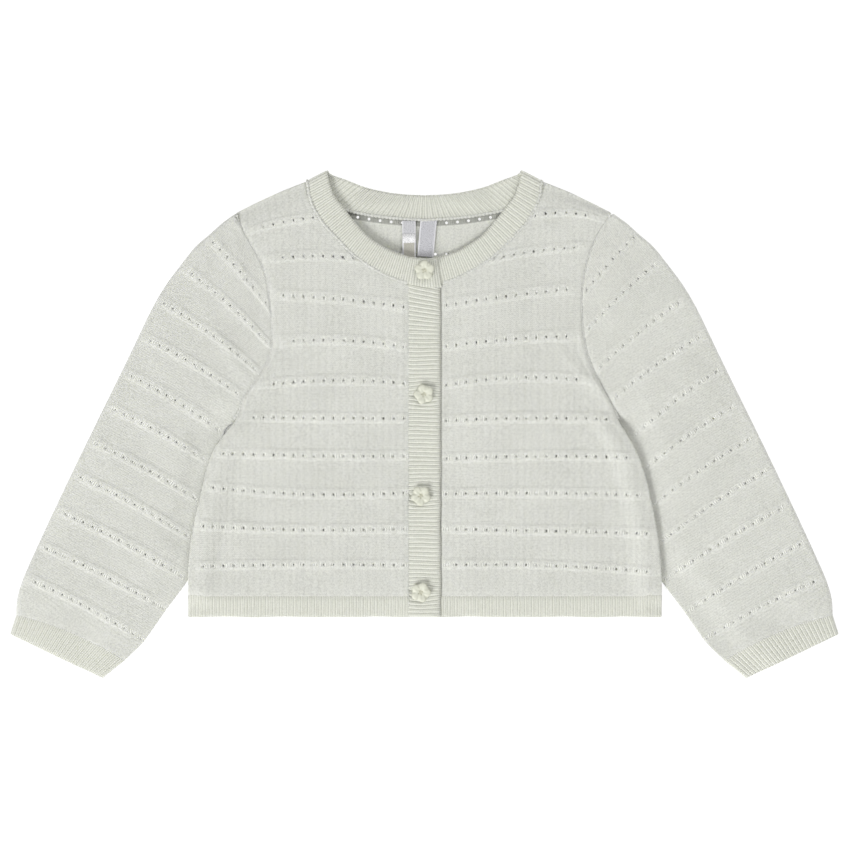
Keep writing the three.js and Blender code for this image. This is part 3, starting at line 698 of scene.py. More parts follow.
def front_piece(side, material):
    rows = FRONT_ROWS[side]
    marks = FASHION_MARKS[side]
    seed = 2.0 if side == "right" else 7.0

    @lru_cache(maxsize=None)
    def row_ends(v):
        outer_y, middle_y, centre_y = (read_curve(rows, column, v) for column in (1, 2, 3))
        bow = middle_y - (outer_y + centre_y) / 2
        outer_x = body_side(side, outer_y) + SEAM_OVERLAP * ease((0, 20), outer_y)
        return outer_x, outer_y, front_edge(side, centre_y), centre_y, bow

    def place(u, v):
        outer_x, outer_y, inner_x, centre_y, bow = row_ends(v)
        x = mix(outer_x, inner_x, u)
        y = mix(outer_y, centre_y, u) + 4 * bow * u * (1 - u)
        if v >= FRONT_LAST_ROW + 1:
            y -= SEAM_OVERLAP
        from_side = outer_x - x
        from_centre = x - inner_x
        closing = max(side_closing(side, x, y), ease(SHOULDER_CLOSING, v))
        under = mix(FRONT_UNDER + centre_shift(side, x), EDGE_UNDER, closing)
        z = under + JERSEY_WALL + FRONT_LIFT * side_lift(side, x, y)
        fade = ease(RELIEF_SIDE, from_side) * ease(RELIEF_CENTRE, from_centre)
        fade *= ease(RELIEF_FRONT_END, v)
        z += (row_relief(v, FRONT_LAST_ROW, x, seed) + settling(x, y, seed)) * fade
        z += crease_height(TOP_CREASES[side], x, y)
        z -= seam_roll(min(from_side, from_centre))
        ridge = ARMHOLE_RIDGE * bump(from_side - ARMHOLE_RIDGE_PLACE, ARMHOLE_RIDGE_WIDTH)
        z += ridge * ease(RIDGE_BOTTOM, y) * ease(RIDGE_TOP, y)
        for mark_x, mark_y in marks:
            z += 0.5 * bump(x - mark_x + (y - mark_y) * 0.4, 0.7) * bump(y - mark_y, 1.6)
        return Vector((SIDES[side] * x, y, z))

    def cloth_place(u, v):
        return mix(row_ends(v)[0], row_ends(v)[2], u), -v * ROW_SPACING

    eyelets = []
    for row in range(1, FRONT_LAST_ROW + 1):
        outer_x, inner_x = row_ends(row)[0], row_ends(row)[2]
        width = outer_x - inner_x
        margin = EDGE_WALES * WALE if row <= ARMHOLE_LAST_ROW else SIDE_MARGIN
        for n in range(int((width - margin) / EYELET_PITCH) + 1):
            from_centre = CENTRE_MARGIN + n * EYELET_PITCH + eyelet_shift(n, row, seed)
            if from_centre < width - margin:
                eyelets.append((1 - from_centre / width, row, eyelet_half(n, row, seed)))
    return knit_sheet(
        f"{side}_front_jersey",
        even_steps(0, 1, FRONT_GRID),
        row_steps(FRONT_LAST_ROW),
        place,
        cloth_place,
        FRONT_CLOTH,
        material,
        eyelets=eyelets,
    )


def back_place(u, y):
    side = "right" if u < 0 else "left"
    share = ease(NECK_RISE, y)
    edge_rise = (read_curve(SHOULDER, 1, body_side(side, y)) - SHOULDER_Y) * share
    x = abs(u) * body_side(side, y + edge_rise)
    top_line = BACK_NECK if x < SHOULDER[0][0] else SHOULDER
    rise = (read_curve(top_line, 1, x) - SHOULDER_Y) * share
    return side, x, y + rise


def back_piece(material):
    seed = 12.0

    @lru_cache(maxsize=None)
    def row_height(v):
        return read_curve(BACK_ROWS, 1, v)

    def place(u, v):
        row_y = row_height(v)
        side, x, y = back_place(u, row_y)
        from_edge = body_side(side, row_y) - x
        z = BACK_LIFT * side_lift(side, x, y)
        relief = row_relief(v, FRONT_LAST_ROW, x, seed) * ease(RELIEF_SIDE, from_edge) if v > 1.5 else 0
        z += UNDERSIDE_RELIEF * clamp(0.9 - relief, 0, 1.4)
        z += max(0, crease_height(UNDER_CREASES[side], x, y))
        z += 0.3 * bump(from_edge, SEAM_ROLL_WIDTH)
        if v >= FRONT_LAST_ROW + 1:
            y -= SEAM_OVERLAP
        return Vector((SIDES[side] * x, y, z))

    def cloth_place(u, v):
        side, x, y = back_place(u, row_height(v))
        return SIDES[side] * x, -v * ROW_SPACING

    eyelets = []
    for row in range(1, FRONT_LAST_ROW + 1):
        half = body_side("right", BACK_ROWS[row][1])
        count = int((half - BACK_MARGIN) / BACK_EYELET_PITCH)
        for n in range(-count, count + 1):
            shows = row == 1 or (row, n) == (2, 1)
            hole = NECK_EYELET_HALF if shows else eyelet_half(n, row, seed)
            eyelets.append((n * BACK_EYELET_PITCH / half, row, hole))
    return knit_sheet(
        "back_jersey",
        even_steps(-1, 1, BACK_GRID),
        row_steps(FRONT_LAST_ROW, BACK_TOP_ROW),
        place,
        cloth_place,
        BACK_WALL,
        material,
        facing=-1,
        eyelets=eyelets,
    )


def front_hem_piece(side, material):
    centre = front_edge(side, HEM_Y)
    width = body_side(side, HEM_Y) - centre
    ribs = round(width / HEM_RIB_PITCH)

    def place(u, y):
        x = mix(body_side(side, y), centre, u)
        closed = max(side_closing(side, x, y), 0.55 * ease(HEM_SETTLING, y))
        under = mix(FRONT_UNDER + centre_shift(side, x), HEM_EDGE_UNDER, closed)
        rib = mix(RIB_HEIGHT, 0, HEM_SHALLOWNESS) * rib_profile(u * ribs) + RIB_HEIGHT * HEM_SHALLOWNESS
        z = under + FRONT_LIFT * side_lift(side, x, y)
        z += mix(JERSEY_WALL - RIB_START, RIB_WALL + rib, ease(WELT_START, y))
        z -= seam_roll(min(y - HEM_Y, abs(x - centre), u * width))
        y += 0.25 * unevenness(x, 0, 18, 4.0) * ease((HEM_RIB_TOP, HEM_Y), y)
        return Vector((SIDES[side] * x, y, z))

    def cloth_place(u, y):
        return u * ribs * WALE, y

    return knit_sheet(
        f"{side}_front_hem_knit",
        even_steps(0, 1, ribs * RIB_STEPS),
        even_steps(HEM_Y, HEM_RIB_TOP, 10) + [HEM_RIB_TOP + SEAM_OVERLAP * share for share in (0.5, 1)],
        place,
        cloth_place,
        RIB_CLOTH,
        material,
    )


def back_hem_piece(material):
    ribs = round(2 * body_side("right", HEM_Y) / HEM_RIB_PITCH)

    def place(u, y):
        side = "right" if u < 0 else "left"
        x = abs(u) * body_side(side, y)
        rib = BACK_RIB_HEIGHT * rib_profile((u + 1) / 2 * ribs)
        z = BACK_LIFT * side_lift(side, x, y) + rib
        return Vector((SIDES[side] * x, y, z))

    def cloth_place(u, y):
        return (u + 1) / 2 * ribs * WALE, y

    return knit_sheet(
        "back_hem_knit",
        even_steps(-1, 1, ribs * 4),
        even_steps(HEM_Y, HEM_RIB_TOP + SEAM_OVERLAP, 8),
        place,
        cloth_place,
        BACK_RIB_CLOTH,
        material,
        facing=-1,
    )


def sleeve_edge(side, y):
    """Seamed edge of a sleeve: the armhole, then a line tucked under the body, then the free edge."""
    if y < SLEEVE_EDGE[-1][0]:
        return read_curve(SLEEVE_EDGE, 1, y)
    tuck = SLEEVE_TUCK * ease(TUCK_TOP, y) * ease(TUCK_BOTTOM, y)
    return body_side(side, y) + SEAM_OVERLAP / 2 - tuck


def tube_travel(width):
    """Length of cloth on one face of a flat tube, from its edge round to the fold."""
    radius = min(FOLD_RADIUS, width / 3)
    return width - radius + math.pi * radius / 2


def tube_place(fold, edge, bow, u, top_height):
    """A point on the outer face of a flat tube that is seamed along one edge. It runs from that
    edge along the underside, round the fold and back on top, as u goes from -1 to 1."""
    row = edge - fold
    width = row.length
    radius = min(FOLD_RADIUS, width / 3)
    arc = math.pi * radius / 2
    travel = abs(u) * tube_travel(width)
    turn = min(travel / radius, math.pi / 2)
    across = radius - radius * math.cos(turn) if travel < arc else radius + travel - arc
    share = across / width
    at = fold + row * share
    lean = Vector((-row.y, row.x)) / width
    if lean.y < 0:
        lean.negate()
    at += lean * (4 * bow * share * (1 - share))
    if u < 0:
        z = radius - radius * math.sin(turn)
        z += top_height(share, width, travel, False)
    else:
        z = radius + radius * math.sin(turn)
        z += (top_height(share, width, travel, True) - 2 * FOLD_RADIUS) * ease((0, arc), travel)
    return Vector((at.x, at.y, z))


def sleeve_piece(side, material):
    rows = SLEEVE_ROWS[side]
    seed = 21.0 if side == "right" else 33.0

    @lru_cache(maxsize=None)
    def ends(v):
        fold_y = read_curve(rows, 1, v)
        edge_y = read_curve(rows, 2, v)
        fold = Vector((read_curve(SLEEVE_FOLD, 1, fold_y), fold_y))
        edge = Vector((sleeve_edge(side, edge_y), edge_y))
        return fold, edge

    def place(u, v):
        fold, edge = ends(v)
        closing = ease(UNDERARM, edge.y)

        def height(share, width, travel, on_top):
            from_edge = width * (1 - share)
            from_fold = width * share
            relief = row_relief(v, SLEEVE_LAST_ROW, from_edge, seed)
            fade = ease(RELIEF_FOLD, from_fold)
            fade *= mix(ease(RELIEF_ARMHOLE, from_edge), ease(RELIEF_EDGE, from_edge), closing)
            if not on_top:
                return UNDERSIDE_RELIEF * clamp(0.9 - relief * fade, 0, 1.4) * ease((0, 6), from_fold)
            puff = ease(PUFF_FOLD, from_fold) * ease(PUFF_EDGE, from_edge) * ease(PUFF_CUFF, v)
            top = 2 * FOLD_RADIUS + SLEEVE_PUFF * puff
            settled = mix(top, EDGE_UNDER + JERSEY_WALL, closing * ease(EDGE_FLAT, from_edge))
            fade *= ease(RELIEF_SLEEVE_END, v)
            settled += (relief + settling(from_edge, v * ROW_SPACING, seed)) * fade
            gap = UNDERARM_GAP[side] * bump(from_edge, UNDERARM_GAP_WIDTH)
            gap *= bump(edge.y - UNDERARM_GAP_Y, UNDERARM_GAP_LENGTH)
            return settled - ARMHOLE_ROLL * bump(from_edge, ARMHOLE_ROLL_WIDTH) * (1 - closing) - gap

        bow = ROW_BOW * ease(BOW_TOP, v) + (CUFF["bow"] - ROW_BOW) * ease(BOW_CUFF, v)
        point = tube_place(fold, edge, bow, u, height)
        if u > 0:
            fade = ease((0, 0.06), u) * ease((1, 0.97), u)
            point.z += crease_height(TOP_CREASES[side], point.x, point.y) * fade
            point.z += ARMHOLE_ROLL * ease((0.4, 0), v) * ease((0, 0.06), u)
        else:
            point.z += max(0, crease_height(UNDER_CREASES[side], point.x, point.y)) * ease((0, -0.1), u)
        point.x *= SIDES[side]
        return point

    def cloth_place(u, v):
        fold, edge = ends(v)
        return u * tube_travel((edge - fold).length), -v * ROW_SPACING

    eyelets = []
    for row in range(1, SLEEVE_LAST_ROW + 1):
        fold, edge = ends(row)
        length = tube_travel((edge - fold).length)
        first = mix(CUFF_MARGIN, ARMPIT_MARGIN, ease(SEAMED_EDGE, edge.y))
        first += TUCK_MARGIN * ease(TUCK_TOP, edge.y) * ease(TUCK_BOTTOM, edge.y)
        for n in range(int((length - first - FOLD_MARGIN) / EYELET_PITCH) + 1):
            share = 1 - (first + n * EYELET_PITCH + eyelet_shift(n, row, seed)) / length
            hole = eyelet_half(n, row, seed) * SLEEVE_EYELET_SHARE
            eyelets += [(share, row, hole), (-share, row, hole)]
    return knit_sheet(
        f"{side}_sleeve_jersey",
        even_steps(-1, 1, SLEEVE_GRID),
        row_steps(SLEEVE_LAST_ROW),
        place,
        cloth_place,
        FRONT_CLOTH,
        material,
        eyelets=eyelets,
    )


def cuff_piece(side, material):
    ribs = round(CUFF["width"] / CUFF_RIB_PITCH)
    corners = {name: Vector(CUFF[name]) for name in ("top_fold", "top_edge", "open_fold", "open_edge")}

    def place(u, v):
        fold = corners["top_fold"].lerp(corners["open_fold"], v)
        edge = corners["top_edge"].lerp(corners["open_edge"], v)

        def height(share, width, travel, on_top):
            rib = CUFF_RIB_HEIGHT * rib_profile(abs(u) * ribs)
            rib *= ease((0, 2), travel) * ease((0, 0.09), v)
            if not on_top:
                return CUFF_RIB_HEIGHT - rib
            from_edge = width * (1 - share)
            roll = seam_roll(min((1 - v) * CUFF["depth"], from_edge))
            flat = mix(2 * FOLD_RADIUS, EDGE_UNDER + JERSEY_WALL, ease(EDGE_FLAT, from_edge))
            return flat + rib - roll - RIB_START

        point = tube_place(fold, edge, CUFF["bow"] * (1 - v), u, height)
        point.x *= SIDES[side]
        return point

    def cloth_place(u, v):
        return u * ribs * WALE, -v * CUFF["depth"]

    return knit_sheet(
        f"{side}_cuff_knit",
        even_steps(-1, 1, 2 * ribs * RIB_STEPS),
        [-0.055, -0.03] + even_steps(0, 1, 10),
        place,
        cloth_place,
        RIB_CLOTH,
        material,
    )


def neckband_place(s, w, out):
    """s runs from the overlapping front end round the back to the other end, and w from the seam
    to the free edge."""
    side = "right" if s < 0 else "left"
    section = NECKBAND_HALF - abs(s)

    def read(column):
        if section >= 0:
            return read_curve(NECKBAND, column, section)
        step = NECKBAND[1][column] - NECKBAND[0][column] if column in (1, 3) else 0
        return NECKBAND[0][column] + section * step

    seam_x, seam_y, free_x, free_y = (read(column) for column in (1, 2, 3, 4))
    turn = read_curve(NECKBAND, 5, section) if section >= 0 else 0
    angle = math.pi * clamp(turn)
    x = mix(seam_x, free_x, w)
    y = mix(seam_y, free_y, w)
    centre_under = BUTTONHOLE_BAND_UNDER if side == "right" else BUTTON_BAND_UNDER
    front_under = mix(BAND_FRONT_UNDER, centre_under, ease(BAND_CROSSING, x))
    middle = RIB_WALL / 2 + mix(RIB_HEIGHT, front_under, (1 + math.cos(angle)) / 2)
    outward = SHOULDER_FOLD_FACING * (math.sin(angle) * out)
    return Vector((SIDES[side] * (x + outward.x), y + outward.y, middle + math.cos(angle) * out))


NECKBAND_START = -(NECKBAND_HALF + NECKBAND_ENDS["right"])
NECKBAND_END = NECKBAND_HALF + NECKBAND_ENDS["left"]


def neckband_piece(material):

    # Sections are unevenly spaced, so the ribs are spaced along the middle of the strip
    fine = even_steps(NECKBAND_START, NECKBAND_END, 1200)
    along = distances_along([neckband_place(s, 0.5, 0) for s in fine])
    ribs = round(along[-1] / NECK_RIB_PITCH)
    steps = [mix(fine[i], fine[i + 1], share) for i, share in even_places(along, ribs * RIB_STEPS)]
    rib_at = {s: n / RIB_STEPS for n, s in enumerate(steps)}

    def place(s, w):
        centre_front = ease((NECKBAND_HALF - 6, NECKBAND_HALF - 1), abs(s))
        depth = RIB_HEIGHT * mix(0.5, 0.27, centre_front)
        rib = (rib_profile(rib_at[s]) - 0.5) * depth
        from_end = min(rib_at[s], ribs - rib_at[s]) * NECK_RIB_PITCH
        roll = seam_roll(min(w * NECKBAND_WIDTH + 3 * centre_front, (1 - w) * NECKBAND_WIDTH))
        roll += END_ROLL * bump(from_end, END_ROLL_WIDTH)
        out = RIB_WALL / 2 + RIB_HEIGHT / 2 + rib - roll
        return neckband_place(s, w, out)

    def cloth_place(s, w):
        return rib_at[s] * WALE, w * NECKBAND_WIDTH

    return knit_sheet(
        "neckband_knit",
        steps,
        even_steps(-SEAM_OVERLAP / 7, 1, 10),
        place,
        cloth_place,
        RIB_WALL - 0.1,
        material,
        facing=1,
    )


def linked_seam(name, path, material):
    """The chain of loops that links two pieces, as a knobbly bead along a path of points."""
    along = distances_along(path)
    length = along[-1]
    stitches = round(length / CHAIN_PITCH)
    points = [path[i].lerp(path[i + 1], share) for i, share in even_places(along, stitches * 6)]
    last, sides = len(points) - 1, 8
    mesh = bmesh.new()
    uv = mesh.loops.layers.uv.new("cloth")
    bmesh.ops.create_grid(mesh, x_segments=last, y_segments=sides, size=1)
    for vert in mesh.verts:
        i = round((vert.co.x + 1) / 2 * last)
        turn = (vert.co.y + 1) * math.pi
        for loop in vert.link_loops:
            loop[uv].uv = (turn * CHAIN_HALF_WIDTH * MM, length * i / last * MM)
        run = points[min(i + 1, last)] - points[max(i - 1, 0)]
        across = Vector((-run.y, run.x, 0)).normalized()
        swell = 0.45 + 0.55 * abs(math.sin(math.pi * i / 6))
        if i in (0, last):
            swell = 0.02
        side_step = across * (math.cos(turn) * CHAIN_HALF_WIDTH * swell)
        vert.co = points[i] + side_step + Vector((0, 0, math.sin(turn) * CHAIN_HALF_HEIGHT * swell))
    bmesh.ops.remove_doubles(mesh, verts=mesh.verts, dist=0.005)
    bmesh.ops.recalc_face_normals(mesh, faces=mesh.faces)
    piece = new_piece(name, mesh, material)
    return piece


def neck_seams(material):
    """Chains round the outside of the neckband and along the inside of the back neck."""
    outer = []
    for s in even_steps(CHAIN_ENDS["right"] - NECKBAND_HALF, NECKBAND_HALF - CHAIN_ENDS["left"], 600):
        point = neckband_place(s, -0.02, RIB_WALL / 2 + 0.22)
        point.z = max(point.z, CHAIN_HALF_HEIGHT)
        outer.append(point)
    inner_end = NECKBAND_HALF - SHOULDER_FOLD_SECTION - 1
    inner = [
        neckband_place(s, -0.03, -RIB_WALL / 2 - 0.1) for s in even_steps(-inner_end, inner_end, 300)
    ]
    return [
        linked_seam("neck_seam_outside", outer, material),
        linked_seam("neck_seam_inside", inner, material),
    ]


def armhole_seam(side, material):
    """The chain that links a sleeve in, sunk between the two cloths."""
    path = []
    for y in even_steps(UNDERARM_Y - 6, SHOULDER_Y - 1, 120):
        x = body_side(side, y) + ARMHOLE_SEAM["outside"]
        path.append(Vector((SIDES[side] * x, y, ARMHOLE_SEAM["height"])))
    return linked_seam(f"{side}_armhole_seam", path, material)


def band_piece(name, edges, under, material, over_buttons):
    length = BAND_TOP - HEM_Y
    ribs = round(length / BAND_RIB_PITCH)
    seam, free = edges["seam"], edges["free"]
    outward = 1 if free > seam else -1

    def place(x, y):
        at_x, at_y = x, y
        rib = rib_profile((y - HEM_Y) / length * ribs)
        z = 0
        if over_buttons:
            rib = mix(0.45, rib, ease((0, 2.2), free - x))
            z = -BAND_EDGE_ROLL * bump(free - x, 1.7)
        z += under + BAND_WALL + RIB_HEIGHT * mix(0.5, rib, 0.85)
        z -= seam_roll(min(abs(x - seam), abs(free - x), y - HEM_Y + 0.4))
        z -= BAND_TUCK * ease((BAND_TOP - 0.6, BAND_TOP + 1), y)
        if over_buttons:
            for button in BUTTONS[1:]:
                off_x, off_y = x - button["x"], y - button["y"]
                near = bump(off_x, 7) * bump(off_y, 8)
                at_y += 1.5 * math.tanh(off_y / 2.5) * near
                z -= 0.5 * bump(off_y, 1.3) * bump(off_x + 5.5, 2.2)
        at_y += 0.25 * unevenness(x, y, 12, 9.0)
        at_x += 0.3 * unevenness(0, y, 17, 5.0)
        if over_buttons:
            at_y -= BAND_SLANT * ease((BAND_TOP - 36, BAND_TOP - 2), y) * (x - (seam + free) / 2)
        return Vector((at_x, max(at_y, HEM_Y), z))

    def cloth_place(x, y):
        return (y - HEM_Y) / length * ribs * WALE, x * outward

    return knit_sheet(
        name,
        even_steps(seam - outward * SEAM_OVERLAP, free, 14),
        even_steps(HEM_Y, BAND_TOP + length / ribs, (ribs + 1) * RIB_STEPS),
        place,
        cloth_place,
        BAND_WALL - 0.1,
        material,
    )


# Buttons and labels

def button_piece(number, place, material, thread):
    """A flower-shaped button with a raised rim, a dished middle and four holes."""
    mesh = bmesh.new()
    half = BUTTON_THICKNESS / 2
    verts = [mesh.verts.new((BUTTON_RADIUS * r, 0, half * h)) for r, h in BUTTON_PROFILE]
    edges = [mesh.edges.new(pair) for pair in zip(verts, verts[1:])]
    bmesh.ops.spin(
        mesh,
        geom=verts + edges,
        cent=(0, 0, 0),
        axis=(0, 0, 1),
        dvec=(0, 0, 0),
        angle=2 * math.pi,
        steps=80,
        use_merge=True,
        use_duplicate=False,
    )
    bmesh.ops.remove_doubles(mesh, verts=mesh.verts, dist=0.001)
    hole_places = [
        Vector((BUTTON_HOLE_CIRCLE * math.cos(turn), BUTTON_HOLE_CIRCLE * math.sin(turn)))
        for turn in BUTTON_HOLE_TURNS
    ]
    for vert in mesh.verts:
        radius = math.hypot(vert.co.x, vert.co.y)
        angle = math.atan2(vert.co.y, vert.co.x)
        outer = radius / BUTTON_RADIUS
        notch = abs(math.sin(BUTTON_PETALS * angle / 2))
        if vert.co.z > 0 and outer < 0.99:
            vert.co.z -= 0.65 * bump(1 - notch, 0.16) * ease((0.4, 0.75), outer)
            for hole in hole_places:
                away = (Vector((vert.co.x, vert.co.y)) - hole).length
                vert.co.z -= 0.9 * bump(away, 0.42)
        petal = 1 + PETAL_DEPTH * math.cos(BUTTON_PETALS * angle)
        vert.co.x *= petal
        vert.co.y *= petal
    bmesh.ops.recalc_face_normals(mesh, faces=mesh.faces)
    height = BUTTONHOLE_BAND_UNDER + place["wall"] + RIB_HEIGHT + SEAM_GAP + half
    turn = Matrix.Rotation(0.3 * number, 4, "Z")
    move = Matrix.Translation((place["x"], place["y"], height))
    bmesh.ops.transform(mesh, matrix=move @ turn, verts=mesh.verts)
    button = new_piece(f"button_{number}_resin", mesh, material)
    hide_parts(f"button_{number}")
    stitches = thread_piece(f"button_{number}_thread", hole_places, move @ turn, half * 0.45, thread)
    return button, stitches


def thread_piece(name, holes, matrix, height, material):
    """Two parallel stitches of sewing thread through the four holes."""
    mesh = bmesh.new()
    for start, end in ((holes[0], holes[3]), (holes[1], holes[2])):
        for shift in (-0.13, 0.13):
            middle = (start + end) / 2
            run = end - start
            cylinder = bmesh.ops.create_cone(
                mesh, cap_ends=True, segments=8, radius1=0.16, radius2=0.16, depth=run.length * 1.1
            )
            verts = cylinder["verts"]
            tilt = Matrix.Rotation(math.pi / 2, 4, "Y")
            spin = Matrix.Rotation(math.atan2(run.y, run.x), 4, "Z")
            move = Matrix.Translation((middle.x, middle.y + shift, height + 0.1))
            bmesh.ops.transform(mesh, matrix=move @ spin @ tilt, verts=verts)
    bmesh.ops.transform(mesh, matrix=matrix, verts=mesh.verts)
    piece = new_piece(name, mesh, material)
    return piece


def label_piece(name, label, material):
    """A woven tape with a little curl at its sides and a bulge half way along."""
    mesh = bmesh.new()
    uv = mesh.loops.layers.uv.new("cloth")
    bmesh.ops.create_grid(mesh, x_segments=12, y_segments=28, size=1)
    base = JERSEY_WALL + SEAM_GAP + LABEL_THICKNESS / 2
    for vert in mesh.verts:
        across, along = vert.co.x, vert.co.y
        curl = 0.12 * across * across + 0.08 * unevenness(across * 5, along * 9, 6, 3.0)
        z = base + curl + label["lift"] + label["bulge"] * (1 - along * along)
        vert.co = Vector((across * label["width"] / 2, along * label["length"] / 2, z))
    for face in mesh.faces:
        for loop in face.loops:
            loop[uv].uv = (loop.vert.co.x * MM, loop.vert.co.y * MM)
    move = Matrix.Translation((label["x"], label["y"], 0))
    bmesh.ops.transform(mesh, matrix=move @ Matrix.Rotation(label["turn"], 4, "Z"), verts=mesh.verts)
    mesh.normal_update()
    if sum(face.normal.z for face in mesh.faces) < 0:
        bmesh.ops.reverse_faces(mesh, faces=mesh.faces)
    piece = new_piece(name, mesh, material)
    wall = piece.modifiers.new("tape wall", "SOLIDIFY")
    wall.thickness = 0.4 * MM
    wall.offset = -1
    return piece


# Materials

def linear_colour(code):
    """Turns an sRGB hex colour into the linear values that a shader reads."""
    channels = [int(code[i:i + 2], 16) / 255 for i in (1, 3, 5)]
    linear = [c / 12.92 if c <= 0.04045 else ((c + 0.055) / 1.055) ** 2.4 for c in channels]
    return (*linear, 1.0)


def add_node(tree, kind, settings=None, links=None):
    """Adds a shader node with its settings, and links its inputs. A setting or link that names an
    input by its name or number sets or joins that input."""
    node = tree.nodes.new(kind)
    for name, value in (settings or {}).items():
        if isinstance(name, int) or name in node.inputs:
            node.inputs[name].default_value = value
        else:
            setattr(node, name, value)
    for name, socket in (links or {}).items():
        tree.links.new(socket, node.inputs[name])
    return node


def calculate(tree, operation, *values):
    """The result of one operation on numbers and sockets."""
    numbers = {i: value for i, value in enumerate(values) if isinstance(value, (int, float))}
    sockets = {i: value for i, value in enumerate(values) if i not in numbers}
    return add_node(tree, "ShaderNodeMath", {"operation": operation, **numbers}, sockets).outputs[0]


def map_range(tree, value, low, high, top=1, smooth=False):
    """Maps low to 0 and high to top, and holds the value between them."""
    settings = {"From Min": low, "From Max": high, "To Max": top}
    if smooth:
        settings["interpolation_type"] = "SMOOTHSTEP"
    return add_node(tree, "ShaderNodeMapRange", settings, {"Value": value}).outputs[0]


def noise_texture(tree, place, scale, detail=2):
    settings = {"Scale": scale, "Detail": detail}
    return add_node(tree, "ShaderNodeTexNoise", settings, {"Vector": place}).outputs[0]


def mix_colours(tree, share, first, second):
    """Mixes two colours. The first is a hex colour or a socket, and the second a hex colour."""
    settings = {"data_type": "RGBA", 7: linear_colour(second)}
    links = {0: share}
    if isinstance(first, str):
        settings[6] = linear_colour(first)
    else:
        links[6] = first
    return add_node(tree, "ShaderNodeMix", settings, links).outputs[2]


def bump_normal(tree, height, strength, depth):
    settings = {"Strength": strength, "Distance": depth * MM}
    return add_node(tree, "ShaderNodeBump", settings, {"Height": height}).outputs[0]


def cloth_uv(tree):
    return add_node(tree, "ShaderNodeUVMap", {"uv_map": "cloth"}).outputs[0]


def object_place(tree):
    return add_node(tree, "ShaderNodeTexCoord").outputs["Object"]


def count_repeats(tree, uv, width, height):
    """Counts a place on the cloth in repeats of a pattern."""
    settings = {"operation": "MULTIPLY", 1: (1 / (width * MM), 1 / (height * MM), 0)}
    return add_node(tree, "ShaderNodeVectorMath", settings, {0: uv}).outputs[0]


def split(tree, vector):
    return add_node(tree, "ShaderNodeSeparateXYZ", links={0: vector}).outputs


def new_material(name):
    """A material with an empty node tree."""
    material = bpy.data.materials.new(name)
    material.use_nodes = True
    material.node_tree.nodes.clear()
    return material, material.node_tree


def add_shader(tree, settings, links=None):
    """The surface of a material, joined to its output."""
    shader = add_node(tree, "ShaderNodeBsdfPrincipled", settings, links)
    add_node(tree, "ShaderNodeOutputMaterial", links={"Surface": shader.outputs[0]})


def knit_height(tree, uv):
    """Height of knit stitches, from 0 between the loops to 1 on them: V shapes in columns."""
    parts = split(tree, count_repeats(tree, uv, WALE, COURSE))
    in_wale = calculate(tree, "FRACT", parts["X"])
    centred = calculate(tree, "SUBTRACT", in_wale, 0.5)
    mirrored = calculate(tree, "ABSOLUTE", centred)
    leg = calculate(tree, "SINE", calculate(tree, "MULTIPLY", mirrored, 2 * math.pi))
    slanted = calculate(tree, "MULTIPLY_ADD", mirrored, STITCH_SLANT, parts["Y"])
    loop = calculate(tree, "SINE", calculate(tree, "MULTIPLY", slanted, math.pi))
    fullness = calculate(tree, "MULTIPLY_ADD", calculate(tree, "ABSOLUTE", loop), 0.5, 0.5)
    return calculate(tree, "MULTIPLY", leg, fullness)


def lit_lace_stitches(tree, uv):
    """Full round stitches that stand out in a band along each row of eyelets, from 0 to 1. They raise the
    bump and also make the colour lighter: painted highlights.
    """
    from_row = calculate(tree, "PINGPONG", split(tree, uv)["Y"], ROW_SPACING / 2 * MM)
    outside, inside = (edge * MM for edge in LACE_BAND)
    band = map_range(tree, from_row, outside, inside, smooth=True)
    fleck = map_range(tree, noise_texture(tree, uv, 620, detail=1), 0.45, 0.7)
    return calculate(tree, "MULTIPLY", band, fleck)


def painted_shade_strip(tree, uv):
    """Painted shade along the thin lace course below the back neck seam, from 0 beside it to its strength
    along it.
    """
    from_course = calculate(tree, "ADD", split(tree, uv)["Y"], PAINTED_SHADE_COURSE["place"] * MM)
    away = calculate(tree, "ABSOLUTE", from_course)
    outside, inside = ((PAINTED_SHADE_COURSE["half_width"] + step) * MM for step in (0.5, -0.5))
    return map_range(tree, away, outside, inside, PAINTED_SHADE_COURSE["strength"], smooth=True)


def cotton_knit(name, shade, light, depth, lace=False, painted_shade=False):
    """Fine combed cotton, knitted and washed: matt, with V stitches in columns, a soft bloom of
    loose fibre on top and a slight unevenness in the yarn's colour. Its colour follows the stitch
    height: painted shade between the loops and painted light on them."""
    material, tree = new_material(name)
    uv, place = cloth_uv(tree), object_place(tree)
    height = knit_height(tree, uv)
    # Painted highlights: the lace stitches lighten the colour as well as raising the bump
    if lace:
        height = calculate(tree, "MULTIPLY_ADD", lit_lace_stitches(tree, uv), 0.15, height)
    fibre = calculate(tree, "MULTIPLY_ADD", noise_texture(tree, place, 950), 0.75, height)
    tone = calculate(tree, "MULTIPLY_ADD", noise_texture(tree, place, 45), 0.2, fibre)
    # Painted shade and light: the colour runs from shade in the hollows between stitches to light on the
    # loops
    colour = mix_colours(tree, map_range(tree, tone, 0.32, 1.32), shade, light)
    # Painted shade: a darker strip along the lace course inside the back neck
    if painted_shade:
        colour = mix_colours(tree, painted_shade_strip(tree, uv), colour, PAINTED_SHADE_COURSE["tone"])
    add_shader(
        tree,
        {
            "Roughness": 0.95,
            "Specular IOR Level": 0.25,
            "Sheen Weight": 0.1,
            "Sheen Roughness": 0.6,
            "Subsurface Weight": 1,
            "Subsurface Radius": (1, 1, 0.95),
            "Subsurface Scale": LIGHT_TRAVEL * MM,
        },
        {"Base Color": colour, "Normal": bump_normal(tree, fibre, 0.65, depth)},
    )
    return material


